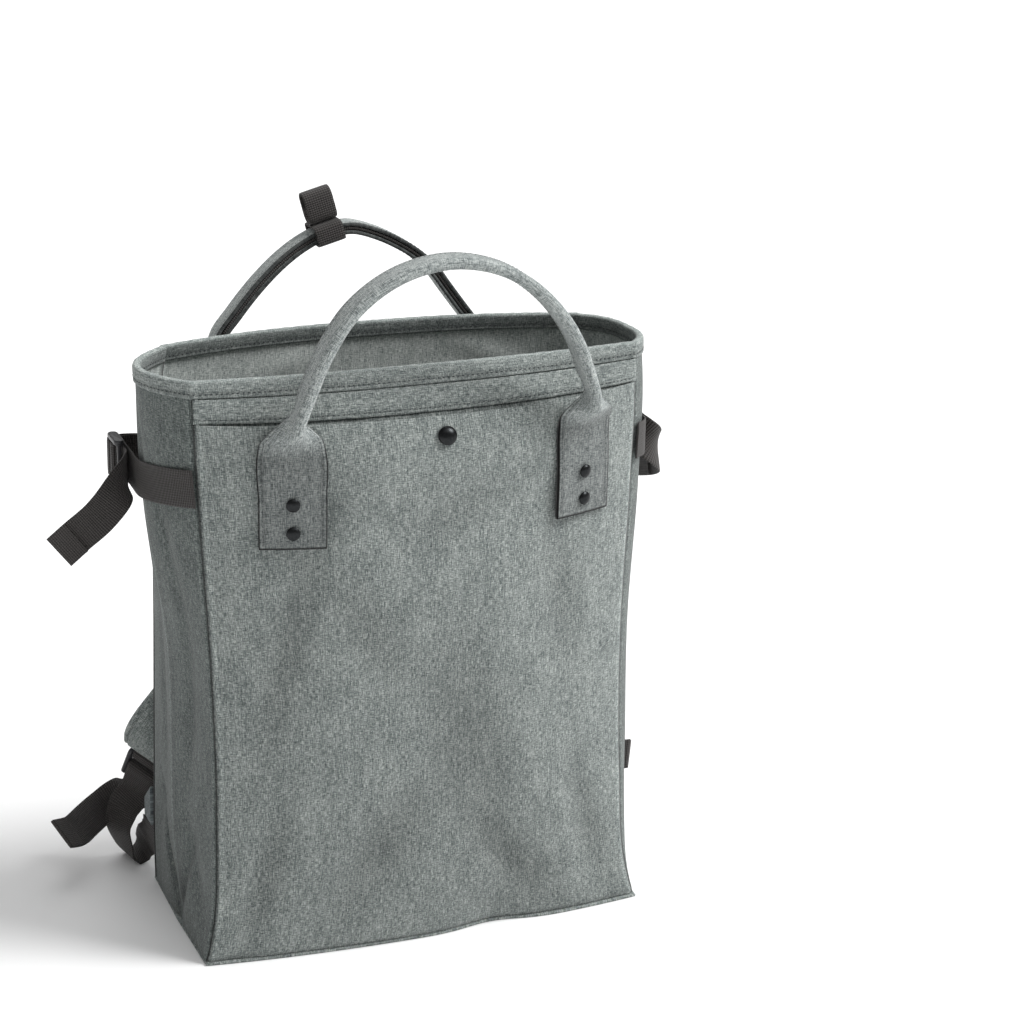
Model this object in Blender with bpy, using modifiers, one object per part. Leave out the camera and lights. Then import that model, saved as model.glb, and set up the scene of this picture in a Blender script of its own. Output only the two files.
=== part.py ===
"""Convertible backpack: a woven tote body with two folded handles, side straps and shoulder straps.

The origin is the centre of the base's underside. +Z is up, the front pocket faces -Y and the wearer's
back faces +Y, so "left" is -X and "right" is +X. All lengths are metres, all angles radians.
"""
import math
from collections import namedtuple

import bmesh
import bpy
import numpy as np
from mathutils import Matrix, Vector

# Bag body
BAG_HEIGHT = 0.400
BASE_WIDTH = 0.316
BASE_DEPTH = 0.140
CLOTH = 0.0015
BASE_THICKNESS = 0.0020
GAP = 0.0003

# Strips round the mouth and the front pocket
BINDING_LEG = 0.0010
BINDING_HEIGHT = 0.0110
BAND_HEIGHT = 0.0265
BAND_CLOTH = 0.0010
POCKET_GAPE = 0.0075
POCKET_GAPE_REACH = 0.090

# Dent in the front panel's bottom edge
DENT_DEPTH = 0.0070
DENT_PLACE = 0.095
DENT_HALF_WIDTH = 0.026
DENT_RISE = 0.030

# Handles
HANDLE_SPAN = 0.2028
FRONT_HANDLE_RISE = 0.1020
BACK_HANDLE_RISE = 0.0910
FRONT_SHIFT = 0.0030
BACK_SHIFT = -0.0040
FOOT_WIDTH = 0.0420
FOOT_BOTTOM_DROP = 0.1060
FOOT_STRAIGHT = 0.0630
NECK_DROP = 0.0220
GRIP_RIBBON = 0.0370
FOLD_RADIUS = 0.0028
HANDLE_CLOTH = 0.0024
CORE_WIDTH = 0.0130
CORE_THICKNESS = 0.0020
GRIP_OFF_BAND = 0.0010

# Rivets and snap
RIVET_DIAMETER = 0.0090
RIVET_HEIGHT = 0.0026
RIVET_SPACING = 0.0190
RIVET_FROM_FOOT_END = 0.0110
SNAP_DIAMETER = 0.0125
SNAP_HEIGHT = 0.0045
SNAP_DROP = 0.0390

# Webbing and ladder-locks
WEBBING_WIDTH = 0.0250
WEBBING = 0.0014
KEEPER_WIDTH = 0.0200
KEEPER_LOOP_HEIGHT = 0.0230
KEEPER_LOOP_WIDTH = 0.0140
KEEPER_PLAY = 0.0016
KEEPER_BAND_RADIUS = 0.0020
KEEPER_LOOP_RADIUS = 0.0050
LOCK_LENGTH = 0.0240
LOCK_CHEEK = 0.0035
LOCK_SIDE_PLAY = 0.0010
LOCK_BAR = 0.0030
LOCK_CHEEK_HEIGHT = 0.0070
LOCK_CHEEK_RADIUS = 0.0032
LOCK_LEAD = 0.0045
CORNER_REACH = 0.0014
CORNER_CUT = 0.0004
SIDE_STRAP_DROP = 0.0680
SIDE_LOCK_DROP = 0.0755
SIDE_TAIL_LENGTH = 0.0750
LOCK_FROM_SEAM = 0.0155
STRAP_OFF_GUSSET = 0.0010

# Shoulder straps
SHOULDER_WIDTH = 0.0550
SHOULDER_TIP_WIDTH = 0.0480
SHOULDER_PAD = 0.0090
TIP_LENGTH = 0.0150
WEBBING_REACH = 0.0500
TAB_REACH = 0.0180
TAB_SEAM_HEIGHT = 0.0300
TAB_END_HEIGHT = 0.0150
TAB_THICKNESS = 0.0030

# Plan of the bag at rising heights. height is a share of the rim's height. The corners fl, fr, bl and
# br (front or back, left or right) have x as a share of half the base width and y as a share of half
# the base depth. front, back, left and right are the outward crown of each wall as a share of the base
# depth, and crease is the share of that crown on the left that is one sharp fold.
Section = namedtuple("Section", "height fl_x fl_y fr_x fr_y bl_x bl_y br_x br_y front back left right crease")
SECTIONS = [
    Section(0.00, -0.990, -1.010, 0.990, -1.015, -0.994, 0.980, 0.994, 0.980, 0.068, 0.040, 0.010, 0.020, 1.0),
    Section(0.06, -0.958, -1.000, 0.950, -0.990, -0.998, 0.957, 0.985, 0.957, 0.110, 0.057, 0.040, 0.070, 1.0),
    Section(0.25, -0.930, -0.970, 0.915, -0.930, -0.994, 0.914, 0.968, 0.914, 0.190, 0.070, 0.064, 0.114, 1.0),
    Section(0.50, -0.935, -0.930, 0.921, -0.814, -0.984, 0.871, 0.956, 0.871, 0.245, 0.086, 0.068, 0.121, 0.9),
    Section(0.75, -0.967, -0.921, 0.959, -0.729, -0.981, 0.771, 0.949, 0.771, 0.240, 0.114, 0.143, 0.143, 0.2),
    Section(0.93, -0.981, -0.857, 0.972, -0.700, -0.962, 0.643, 0.937, 0.643, 0.172, 0.150, 0.175, 0.136, 0.0),
    Section(1.00, -0.976, -0.790, 0.970, -0.670, -0.949, 0.560, 0.930, 0.575, 0.056, 0.165, 0.186, 0.122, 0.0),
]
PANEL_CROWN_POWER = 2.4
RIGHT_CROWN_POWER = 3.0

# Route of each grip: x as a share of half the span, z as a share of the handle's rise
GripPoint = namedtuple("GripPoint", "x z")
FRONT_GRIP = [
    GripPoint(-0.985, 0.06), GripPoint(-0.94, 0.17), GripPoint(-0.81, 0.47), GripPoint(-0.64, 0.72),
    GripPoint(-0.38, 0.91), GripPoint(-0.02, 1.00), GripPoint(0.37, 0.92), GripPoint(0.64, 0.73),
    GripPoint(0.82, 0.50), GripPoint(0.94, 0.22), GripPoint(0.985, 0.06),
]
BACK_GRIP = [
    GripPoint(-1.01, 0.06), GripPoint(-0.99, 0.19), GripPoint(-0.84, 0.43), GripPoint(-0.63, 0.69),
    GripPoint(-0.38, 0.90), GripPoint(-0.08, 1.00), GripPoint(0.20, 0.90), GripPoint(0.47, 0.70),
    GripPoint(0.68, 0.40), GripPoint(0.84, 0.17), GripPoint(0.93, 0.05),
]
GRIP_STATIONS = 17
GRIP_BELOW_NECK = 0.05
KEEPER_AT = 0.455

# Neck of a foot, where the flat strip folds: rise as a share of the neck's height, width as a share of
# the foot's width, fold in degrees, and lean, the share of the way out to the grip's plane
NeckRow = namedtuple("NeckRow", "rise width fold lean")
NECK_ROWS = [NeckRow(0.0, 1.0, 4.0, 0.0), NeckRow(0.35, 1.0, 24.0, 0.4), NeckRow(0.70, 0.94, 56.0, 0.9)]

# Shoulder strap on the left: x and z of its centre line as shares of half the base width and of the
# bag's height, lift off the back panel as a share of the base depth, twist in degrees,
# and pad, the share of the full padding
StrapRow = namedtuple("StrapRow", "x z lift twist pad")
SHOULDER_ROUTE = [
    StrapRow(-0.304, 0.930, 0.004, 0.0, 0.30), StrapRow(-0.304, 0.870, 0.020, 0.0, 0.80),
    StrapRow(-0.306, 0.750, 0.050, 0.0, 1.00), StrapRow(-0.335, 0.625, 0.070, 0.0, 1.00),
    StrapRow(-0.430, 0.500, 0.075, 2.0, 1.00), StrapRow(-0.608, 0.400, 0.060, 4.0, 1.00),
    StrapRow(-0.796, 0.335, 0.040, 8.0, 1.00), StrapRow(-0.920, 0.270, 0.072, 26.0, 1.00),
    StrapRow(-0.963, 0.210, 0.150, 56.0, 0.80),
]


def clear_objects():
    """Remove every object that the file starts with."""
    for item in list(bpy.data.objects):
        bpy.data.objects.remove(item, do_unlink=True)


clear_objects()
PARTS = bpy.data.collections.new("convertible_backpack")
bpy.context.scene.collection.children.link(PARTS)


def make_material(name, color, roughness, metallic=0.0):
    """Return a Principled BSDF material with the given linear colour."""
    material = bpy.data.materials.new(name)
    material.use_nodes = True
    shader = material.node_tree.nodes["Principled BSDF"]
    shader.inputs["Base Color"].default_value = (*color, 1.0)
    shader.inputs["Roughness"].default_value = roughness
    shader.inputs["Metallic"].default_value = metallic
    return material


CLOTH_GREY = make_material("heather_polyester", (0.215, 0.240, 0.238), 0.90)
CLOTH_DARK = make_material("heather_polyester_shade", (0.150, 0.172, 0.172), 0.90)
WEBBING_BLACK = make_material("black_webbing", (0.030, 0.027, 0.026), 0.80)
PLASTIC_BLACK = make_material("buckle_plastic", (0.040, 0.039, 0.040), 0.45)
METAL_BLACK = make_material("gunmetal", (0.045, 0.045, 0.045), 0.30, 1.0)


def hermite_lookup(heights, values, at):
    """Smooth value at one height through the rows: a cubic with each row's slope from its neighbours."""
    last = len(heights) - 1
    index = min(max(int(np.searchsorted(heights, at, side="right")) - 1, 0), last - 1)
    slopes = np.gradient(np.asarray(values, float), np.asarray(heights, float), axis=0)
    span = heights[index + 1] - heights[index]
    t = (at - heights[index]) / span
    start, end = np.asarray(values[index], float), np.asarray(values[index + 1], float)
    return ((2 * t ** 3 - 3 * t ** 2 + 1) * start + (t ** 3 - 2 * t ** 2 + t) * span * slopes[index]
            + (-2 * t ** 3 + 3 * t ** 2) * end + (t ** 3 - t ** 2) * span * slopes[index + 1])


SECTION_HEIGHTS = [row.height for row in SECTIONS]
PANEL_TOP = BAG_HEIGHT - BINDING_LEG - 2 * GAP
WALL_BOTTOM = BASE_THICKNESS + GAP
BAND_BOTTOM = BAG_HEIGHT - BAND_HEIGHT
BINDING_BOTTOM = BAG_HEIGHT - BINDING_HEIGHT


def section_at(height_share):
    """Corners and crowns of the plan at one height."""
    return Section(*hermite_lookup(SECTION_HEIGHTS, SECTIONS, height_share))


def corner(section, name):
    """Plan point of one corner, such as fl."""
    x_share, y_share = getattr(section, name + "_x"), getattr(section, name + "_y")
    return np.array([x_share * BASE_WIDTH / 2, y_share * BASE_DEPTH / 2])


def wall_point(start, end, along, crown, z):
    """Point on a wall: along runs 0 to 1 from start to end, crown is the outward distance.

    Outward is to the right of the walk from start to end, so the walls are walked anticlockwise.
    """
    chord = end - start
    outward = np.array([chord[1], -chord[0]]) / np.hypot(*chord)
    plan = start + chord * along + outward * crown
    return np.array([plan[0], plan[1], z])


def front_point(u, z, inset=0.0):
    """Outer surface of the front at u, from -1 at the left seam to 1 at the right seam."""
    section = section_at(z / BAG_HEIGHT)
    crown = section.front * BASE_DEPTH * (1 - abs(u) ** PANEL_CROWN_POWER)
    across = (u * BASE_WIDTH / 2 - DENT_PLACE / 2) / DENT_HALF_WIDTH
    dent = DENT_DEPTH * math.exp(-across ** 2 - (z / DENT_RISE) ** 2)
    return wall_point(corner(section, "fl"), corner(section, "fr"), (u + 1) / 2, crown - dent - inset, z)


def back_point(u, z, inset=0.0):
    """Outer surface of the back at u, from -1 at the left seam to 1 at the right seam."""
    section = section_at(z / BAG_HEIGHT)
    crown = section.back * BASE_DEPTH * (1 - abs(u) ** PANEL_CROWN_POWER)
    return wall_point(corner(section, "br"), corner(section, "bl"), (1 - u) / 2, crown - inset, z)


def gusset_point(side, t, z, inset=0.0, trim=0.0):
    """Outer surface of a gusset at t, from -1 at the front seam to 1 at the back seam."""
    section = section_at(z / BAG_HEIGHT)
    if side < 0:
        front, back = corner(section, "fl"), corner(section, "bl")
        round_crown = section.left * (1 - t ** 2)
        crown = section.crease * section.left * (1 - abs(t)) + (1 - section.crease) * round_crown
    else:
        front, back = corner(section, "fr"), corner(section, "br")
        crown = section.right * (1 - abs(t) ** RIGHT_CROWN_POWER)
    t = t * (1 - 2 * trim / np.hypot(*(back - front)))
    crown = crown * BASE_DEPTH - inset
    if side < 0:
        return wall_point(back, front, (1 - t) / 2, crown, z)
    return wall_point(front, back, (t + 1) / 2, crown, z)


def pocket_gape(u, z):
    """Distance that the pocket stands off the front panel, widest at the middle of its mouth."""
    below = max(BAND_BOTTOM - z, 0.0) / POCKET_GAPE_REACH
    if below >= 1.0:
        return 0.0
    return POCKET_GAPE * (1 - abs(u) ** PANEL_CROWN_POWER) * math.cos(below * math.pi / 2) ** 2


def pocket_point(u, z, inset=0.0):
    """Outer surface of the front pocket."""
    return front_point(u, z, inset - pocket_gape(u, z))


SEARCH_STEPS = 6


def surface_y(point_of, x, z):
    """y of a front or back surface at a given x: u is stepped by the error that is left in x."""
    u = x / (BASE_WIDTH / 2)
    for _ in range(SEARCH_STEPS):
        error = point_of(u, z)[0] - x
        u -= error / (BASE_WIDTH / 2)
    return point_of(u, z)[1]


def add_object(name, mesh, material):
    """Link a mesh as a named part with its material."""
    mesh.materials.append(material)
    item = bpy.data.objects.new(name, mesh)
    PARTS.objects.link(item)
    return item


SHARP_FROM = math.radians(40)


def shade_round(item):
    """Smooth shading with sharp edges kept."""
    item.data.shade_smooth()
    item.data.set_sharp_from_angle(angle=SHARP_FROM)


def grid_mesh(name, rows, closed=False):
    """Open quad surface through rows of points; with closed, each row is a ring."""
    points = np.asarray(rows, float)
    count_rows, count_columns = points.shape[:2]
    steps = count_columns if closed else count_columns - 1
    faces = []
    for row in range(count_rows - 1):
        for column in range(steps):
            following = (column + 1) % count_columns
            a, b = row * count_columns + column, row * count_columns + following
            faces.append((a, b, b + count_columns, a + count_columns))
    mesh = bpy.data.meshes.new(name)
    mesh.from_pydata(points.reshape(-1, 3).tolist(), [], faces)
    mesh.update()
    return mesh


def make_shell(name, rows, thickness, material, offset=-1.0, closed=False, flip=False):
    """Cloth wall: an open surface thickened by Solidify, inward of its normals by default."""
    mesh = grid_mesh(name, rows, closed)
    if flip:
        mesh.flip_normals()
    item = add_object(name, mesh, material)
    solidify = item.modifiers.new("thickness", "SOLIDIFY")
    solidify.thickness = thickness
    solidify.offset = offset
    solidify.use_even_offset = True
    shade_round(item)
    return item


def loft_solid(name, rings, material):
    """Closed solid through rings of equal point count, with flat end caps.

    The second half of each ring starts its faces one corner on, so that both sides of a twisted strip
    are split into triangles along the same diagonals.
    """
    rings = np.asarray(rings, float)
    count_rings, count_points = rings.shape[:2]
    mesh = bpy.data.meshes.new(name)
    faces = [tuple(reversed(range(count_points)))]
    for ring in range(count_rings - 1):
        for point in range(count_points):
            following = (point + 1) % count_points
            a, b = ring * count_points + point, ring * count_points + following
            face = (a, b, b + count_points, a + count_points)
            faces.append(face if point < count_points // 2 else face[1:] + face[:1])
    last = (count_rings - 1) * count_points
    faces.append(tuple(range(last, last + count_points)))
    mesh.from_pydata(rings.reshape(-1, 3).tolist(), [], faces)
    work = bmesh.new()
    work.from_mesh(mesh)
    bmesh.ops.recalc_face_normals(work, faces=work.faces)
    work.to_mesh(mesh)
    work.free()
    item = add_object(name, mesh, material)
    shade_round(item)
    return item


def unit(vectors):
    """Vectors scaled to length one."""
    vectors = np.asarray(vectors, float)
    return vectors / np.linalg.norm(vectors, axis=-1, keepdims=True)


def smooth_route(points, count):
    """Evenly spaced points on a smooth curve through the route's points (any number of columns)."""
    points = np.asarray(points, float)
    steps = np.concatenate([[0.0], np.cumsum(np.linalg.norm(np.diff(points[:, :3], axis=0), axis=1))])
    return np.array([hermite_lookup(steps, points, at) for at in np.linspace(0.0, steps[-1], count)])


SHARPEST_MITRE = 0.75


def strip_solid(name, centres, widths, width, thickness, material):
    """Flat webbing along a route: widths are the directions across it at each centre."""
    centres = np.asarray(centres, float)
    runs = unit(np.diff(centres, axis=0))
    before, after = np.vstack([runs[:1], runs]), np.vstack([runs, runs[-1:]])
    tangents = unit(before + after)
    mitre = 1 / np.maximum(np.sum(tangents * after, axis=1, keepdims=True), SHARPEST_MITRE)
    across = np.asarray(widths, float)
    across = unit(across - tangents * np.sum(across * tangents, axis=1, keepdims=True))
    normals = np.cross(tangents, across)
    half, rise = across * width / 2, normals * mitre * thickness / 2
    rings = np.stack([centres - half - rise, centres + half - rise,
                      centres + half + rise, centres - half + rise], axis=1)
    return loft_solid(name, rings, material)


# Cloth walls: each wall is one shell, and the seams between them are gaps of the cloth's own size
LOWER_ROW_SHARES = [0.065, 0.16, 0.27, 0.40, 0.535, 0.67, 0.80, 0.91]
PANEL_COLUMNS = np.linspace(-1.0, 1.0, 13)
GUSSET_COLUMNS = np.linspace(-1.0, 1.0, 7)
SEAM_TRIM = CLOTH + 2 * GAP
LAYER = CLOTH + 3 * GAP
INNER_U = 1 - 2 * SEAM_TRIM / (BASE_WIDTH / 2)
OUTER_U = 1 - GAP / (BASE_WIDTH / 2)


def wall_heights():
    """Heights of the walls' rows, from the base to the rim."""
    lower = [share * BAND_BOTTOM for share in LOWER_ROW_SHARES]
    return [WALL_BOTTOM] + lower + [BAND_BOTTOM, BINDING_BOTTOM, PANEL_TOP]


def make_walls():
    """Front, back and both gussets, from the base to the rim."""
    heights = wall_heights()
    front = [[front_point(u * INNER_U, z, LAYER) for u in PANEL_COLUMNS] for z in heights]
    make_shell("front_panel", front, CLOTH, CLOTH_GREY)
    back = [[back_point(u, z) for u in PANEL_COLUMNS] for z in heights]
    make_shell("back_panel", back, CLOTH, CLOTH_GREY, flip=True)
    for side, name in ((-1, "gusset_left"), (1, "gusset_right")):
        rows = [[gusset_point(side, t, z, 0.0, SEAM_TRIM) for t in GUSSET_COLUMNS] for z in heights]
        make_shell(name, rows, CLOTH, CLOTH_DARK, flip=side < 0)


def make_base():
    """Flat base under the walls, with the outline that they have there."""
    outline = [front_point(u, 0.0) for u in PANEL_COLUMNS]
    outline += [gusset_point(1, t, 0.0) for t in GUSSET_COLUMNS[1:-1]]
    outline += [back_point(u, 0.0) for u in PANEL_COLUMNS[::-1]]
    outline += [gusset_point(-1, t, 0.0) for t in GUSSET_COLUMNS[::-1][1:-1]]
    lower = np.array(outline)
    upper = lower + np.array([0.0, 0.0, BASE_THICKNESS])
    loft_solid("base_panel", [lower, upper], CLOTH_DARK)


def make_pocket_and_bands():
    """Outer front panel up to the band, and the bands over the front and back panels."""
    heights = [z for z in wall_heights() if z < BAND_BOTTOM - GAP] + [BAND_BOTTOM - GAP]
    pocket = [[pocket_point(u * OUTER_U, z) for u in PANEL_COLUMNS] for z in heights]
    make_shell("front_pocket", pocket, CLOTH, CLOTH_GREY)
    band_heights = [BAND_BOTTOM, BINDING_BOTTOM - GAP]
    seat = LAYER - 3 * GAP - BAND_CLOTH
    front = [[front_point(u * OUTER_U, z, seat) for u in PANEL_COLUMNS] for z in band_heights]
    make_shell("front_band", front, BAND_CLOTH, CLOTH_GREY)
    back = [[back_point(u * OUTER_U, z, -GAP - BAND_CLOTH) for u in PANEL_COLUMNS] for z in band_heights]
    make_shell("back_band", back, BAND_CLOTH, CLOTH_GREY, flip=True)


def rim_loop(z):
    """Outer faces of the four walls at one height, anticlockwise from the front left seam."""
    loop = [front_point(u * INNER_U, z, LAYER) for u in PANEL_COLUMNS]
    loop += [gusset_point(1, t, z, 0.0, SEAM_TRIM) for t in GUSSET_COLUMNS]
    loop += [back_point(u, z) for u in PANEL_COLUMNS[::-1]]
    loop += [gusset_point(-1, t, z, 0.0, SEAM_TRIM) for t in GUSSET_COLUMNS[::-1]]
    return np.array(loop)


def offset_loop(loop, distance, z):
    """Loop moved outward in plan by a distance and set to a height."""
    after = unit(np.roll(loop, -1, axis=0)[:, :2] - loop[:, :2])
    before = np.roll(after, 1, axis=0)
    bisector = unit(after + before)
    mitre = 1 / np.sum(bisector * after, axis=1, keepdims=True)
    outward = np.stack([bisector[:, 1], -bisector[:, 0], np.zeros(len(loop))], axis=1)
    moved = loop + outward * mitre * distance
    moved[:, 2] = z
    return moved


def make_binding():
    """Strip folded over the rim: an outer leg, a rounded crest and an inner leg."""
    low, high = rim_loop(BINDING_BOTTOM), rim_loop(PANEL_TOP)
    outside = 2 * GAP + BINDING_LEG / 2
    inside = -(CLOTH + 4 * GAP + BINDING_LEG / 2)
    crest = BAG_HEIGHT - BINDING_LEG / 2
    rows = [
        offset_loop(low, outside, BINDING_BOTTOM),
        offset_loop(high, outside, PANEL_TOP),
        offset_loop(high, outside - BINDING_LEG, crest),
        offset_loop(high, inside + BINDING_LEG, crest),
        offset_loop(high, inside, PANEL_TOP),
        offset_loop(low, inside, BINDING_BOTTOM),
    ]
    make_shell("rim_binding", rows, BINDING_LEG, CLOTH_GREY, offset=0.0, closed=True)


# Handles: a ribbon that lies flat on the panel as a foot and folds round its core as a grip
RIBBON_STEPS = np.array([-1.0, -0.60, -0.24, 0.0, 0.24, 0.60, 1.0])
NECK_Z = BAG_HEIGHT - NECK_DROP
FOOT_BOTTOM = BAG_HEIGHT - FOOT_BOTTOM_DROP
FOOT_TOP = FOOT_BOTTOM + FOOT_STRAIGHT
FOOT_MIDDLE = (FOOT_BOTTOM + FOOT_TOP) / 2
GRIP_CLEARANCE = GRIP_OFF_BAND + HANDLE_CLOTH / 2
FOOT_SEAT = HANDLE_CLOTH / 2 + 4 * GAP
BACK_FOOT_SEAT = HANDLE_CLOTH / 2 + 2 * GAP


def folded_ribbon(width, fold):
    """Side and depth of the ribbon's points when its two halves are bent back by the fold angle.

    The middle is an arc of FOLD_RADIUS that turns by the fold angle each way, and the rest of each
    half is straight. Depth counts from the middle of the fold towards the open edges.
    """
    distance = np.abs(RIBBON_STEPS) * width / 2
    turn = np.minimum(distance / FOLD_RADIUS, fold)
    rest = distance - turn * FOLD_RADIUS
    side = FOLD_RADIUS * np.sin(turn) + rest * np.cos(fold)
    depth = FOLD_RADIUS * (1 - np.cos(turn)) + rest * np.sin(fold)
    return np.sign(RIBBON_STEPS) * side, depth


def grip_route(points, shift, rise):
    """Centre line of a grip in the plane of the handle."""
    base = NECK_Z - GRIP_BELOW_NECK * rise
    control = [(shift + p.x * HANDLE_SPAN / 2, base + p.z * rise, 0.0) for p in points]
    return smooth_route(control, GRIP_STATIONS)[:, :2]


def handle_edge_y(outward, point_of):
    """y of the grip's open edges: clear of the band at the necks."""
    inner = (HANDLE_SPAN - FOOT_WIDTH) / 2
    seats = [surface_y(point_of, side * inner, BAND_BOTTOM - GAP) for side in (-1, 1)]
    return outward * (max(outward * y for y in seats) + GRIP_CLEARANCE)


def foot_rows(foot_x, outward, point_of, edge_y):
    """Rows of one foot, from its bottom edge up to just below the grip's first row."""
    stations = [(FOOT_BOTTOM, FOOT_WIDTH, 0.0, 0.0), (FOOT_MIDDLE, FOOT_WIDTH, 0.0, 0.0)]
    neck = NECK_Z - FOOT_TOP
    stations += [(FOOT_TOP + row.rise * neck, row.width * FOOT_WIDTH, math.radians(row.fold), row.lean)
                 for row in NECK_ROWS]
    reach = FOOT_SEAT if outward < 0 else BACK_FOOT_SEAT
    rows = []
    for z, width, fold, lean in stations:
        side, depth = folded_ribbon(width, fold)
        row = []
        for s, d in zip(side, depth):
            x = foot_x + s
            seat = surface_y(point_of, x, min(z, BAND_BOTTOM - GAP)) + outward * reach
            y = seat * (1 - lean) + edge_y * lean
            row.append((x, y + outward * (depth.max() - d), z))
        rows.append(row)
    return rows


def grip_rows(route, outward, edge_y):
    """Rows of the folded grip along its route."""
    tangents = unit(np.gradient(route, axis=0))
    side, depth = folded_ribbon(GRIP_RIBBON, math.pi / 2)
    rows = []
    for (x, z), (along_x, along_z) in zip(route, tangents):
        row = [(x + s * along_z, edge_y + outward * (depth.max() - d), z - s * along_x)
               for s, d in zip(side, depth)]
        rows.append(row)
    return rows


def make_handle(name, points, shift, rise, outward, point_of):
    """One handle with its two feet, and the webbing core between the layers of its grip."""
    edge_y = handle_edge_y(outward, point_of)
    route = grip_route(points, shift, rise)
    left = foot_rows(shift - HANDLE_SPAN / 2, outward, point_of, edge_y)
    right = foot_rows(shift + HANDLE_SPAN / 2, outward, point_of, edge_y)
    right = [row[::-1] for row in right[::-1]]
    rows = left + grip_rows(route, outward, edge_y) + right
    make_shell("handle_" + name, rows, HANDLE_CLOTH, CLOTH_GREY, offset=0.0, flip=outward > 0)
    core_y = edge_y + outward * (CORE_WIDTH / 2 + GAP)
    centres = [(x, core_y, z) for x, z in route[1:-1]]
    widths = [(0.0, 1.0, 0.0)] * len(centres)
    strip_solid("handle_core_" + name, centres, widths, CORE_WIDTH, CORE_THICKNESS, WEBBING_BLACK)
    return route, edge_y


# Half section of a cap, from its crown to the middle of its underside: shares of its radius and height
DomePoint = namedtuple("DomePoint", "radius height")
DOME_PROFILE = [DomePoint(0.0, 1.0), DomePoint(0.55, 0.88), DomePoint(0.88, 0.62), DomePoint(1.0, 0.35),
                DomePoint(0.96, 0.0), DomePoint(0.0, 0.0)]
DOME_STEPS = 12
WELD_DISTANCE = 0.00005


def make_dome(name, centre, outward_axis, diameter, height, material):
    """Domed cap: a turned profile from its crown to its rim, closed by a flat underside."""
    mesh = bpy.data.meshes.new(name)
    edges = [(i, i + 1) for i in range(len(DOME_PROFILE) - 1)]
    mesh.from_pydata([(p.radius * diameter / 2, 0.0, p.height * height) for p in DOME_PROFILE], edges, [])
    item = add_object(name, mesh, material)
    screw = item.modifiers.new("turn", "SCREW")
    screw.steps = DOME_STEPS
    screw.render_steps = DOME_STEPS
    screw.use_merge_vertices = True
    screw.merge_threshold = WELD_DISTANCE
    screw.use_normal_calculate = True
    item.location = centre
    item.rotation_mode = "QUATERNION"
    item.rotation_quaternion = Vector(outward_axis).to_track_quat("Z", "Y")
    return item


NORMAL_STEP = 0.0040


def pocket_normal(x, z):
    """Outward normal of the pocket at a place."""
    y = surface_y(pocket_point, x, z)
    slope_x = (surface_y(pocket_point, x + NORMAL_STEP, z) - y) / NORMAL_STEP
    slope_z = (surface_y(pocket_point, x, z + NORMAL_STEP) - y) / NORMAL_STEP
    return unit(np.array([slope_x, -1.0, slope_z]))


def make_rivets():
    """Two caps on each foot of the front handle."""
    for side, side_name in ((-1, "left"), (1, "right")):
        x = FRONT_SHIFT + side * HANDLE_SPAN / 2
        for level, level_name in ((0, "lower"), (1, "upper")):
            z = FOOT_BOTTOM + RIVET_FROM_FOOT_END + level * RIVET_SPACING
            normal = pocket_normal(x, z)
            share = (z - FOOT_BOTTOM) / (FOOT_MIDDLE - FOOT_BOTTOM)
            foot_y = (surface_y(pocket_point, x, FOOT_BOTTOM) * (1 - share)
                      + surface_y(pocket_point, x, FOOT_MIDDLE) * share)
            centre = np.array([x, foot_y - FOOT_SEAT, z]) + normal * (HANDLE_CLOTH / 2 + 2 * GAP)
            name = "rivet_" + side_name + "_" + level_name
            make_dome(name, centre, normal, RIVET_DIAMETER, RIVET_HEIGHT, METAL_BLACK)


def make_snap():
    """Cap of the snap that closes the pocket's mouth."""
    z = BAG_HEIGHT - SNAP_DROP
    below, mouth = LOWER_ROW_SHARES[-1] * BAND_BOTTOM, BAND_BOTTOM - GAP
    low_y, mouth_y = surface_y(pocket_point, FRONT_SHIFT, below), surface_y(pocket_point, FRONT_SHIFT, mouth)
    slope = (mouth_y - low_y) / (mouth - below)
    normal = unit([0.0, -1.0, slope])
    centre = np.array([FRONT_SHIFT, low_y + slope * (z - below), z]) + normal * 2 * GAP
    make_dome("snap_button", centre, normal, SNAP_DIAMETER, SNAP_HEIGHT, METAL_BLACK)


def rounded_outline(half_width, low, high, radius, count=4):
    """Outline of a rounded rectangle, anticlockwise, with an arc at each corner."""
    radius = min(radius, half_width, (high - low) / 2)
    corners = ((half_width - radius, high - radius, 0), (-half_width + radius, high - radius, 90),
               (-half_width + radius, low + radius, 180), (half_width - radius, low + radius, 270))
    points = []
    for x, y, start in corners:
        for step in range(count):
            angle = math.radians(start + 90 * step / (count - 1))
            points.append((x + radius * math.cos(angle), y + radius * math.sin(angle)))
    return points


def make_webbing_ring(name, half_width, low, high, radius, frame):
    """Loop of webbing: a flat outline with a hole, extruded by the webbing's width."""
    outer = rounded_outline(half_width + WEBBING, low - WEBBING, high + WEBBING, radius + WEBBING)
    inner = rounded_outline(half_width, low, high, radius)
    curve = bpy.data.curves.new(name, "CURVE")
    curve.dimensions = "2D"
    curve.fill_mode = "BOTH"
    curve.extrude = KEEPER_WIDTH / 2
    for points in (outer, inner):
        spline = curve.splines.new("POLY")
        spline.points.add(len(points) - 1)
        for target, (px, py) in zip(spline.points, points):
            target.co = (px, py, 0.0, 1.0)
        spline.use_cyclic_u = True
    curve.materials.append(WEBBING_BLACK)
    item = bpy.data.objects.new(name, curve)
    PARTS.objects.link(item)
    item.matrix_world = frame


GRIP_FOLD_DEPTH = folded_ribbon(GRIP_RIBBON, math.pi / 2)[1].max()


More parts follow.
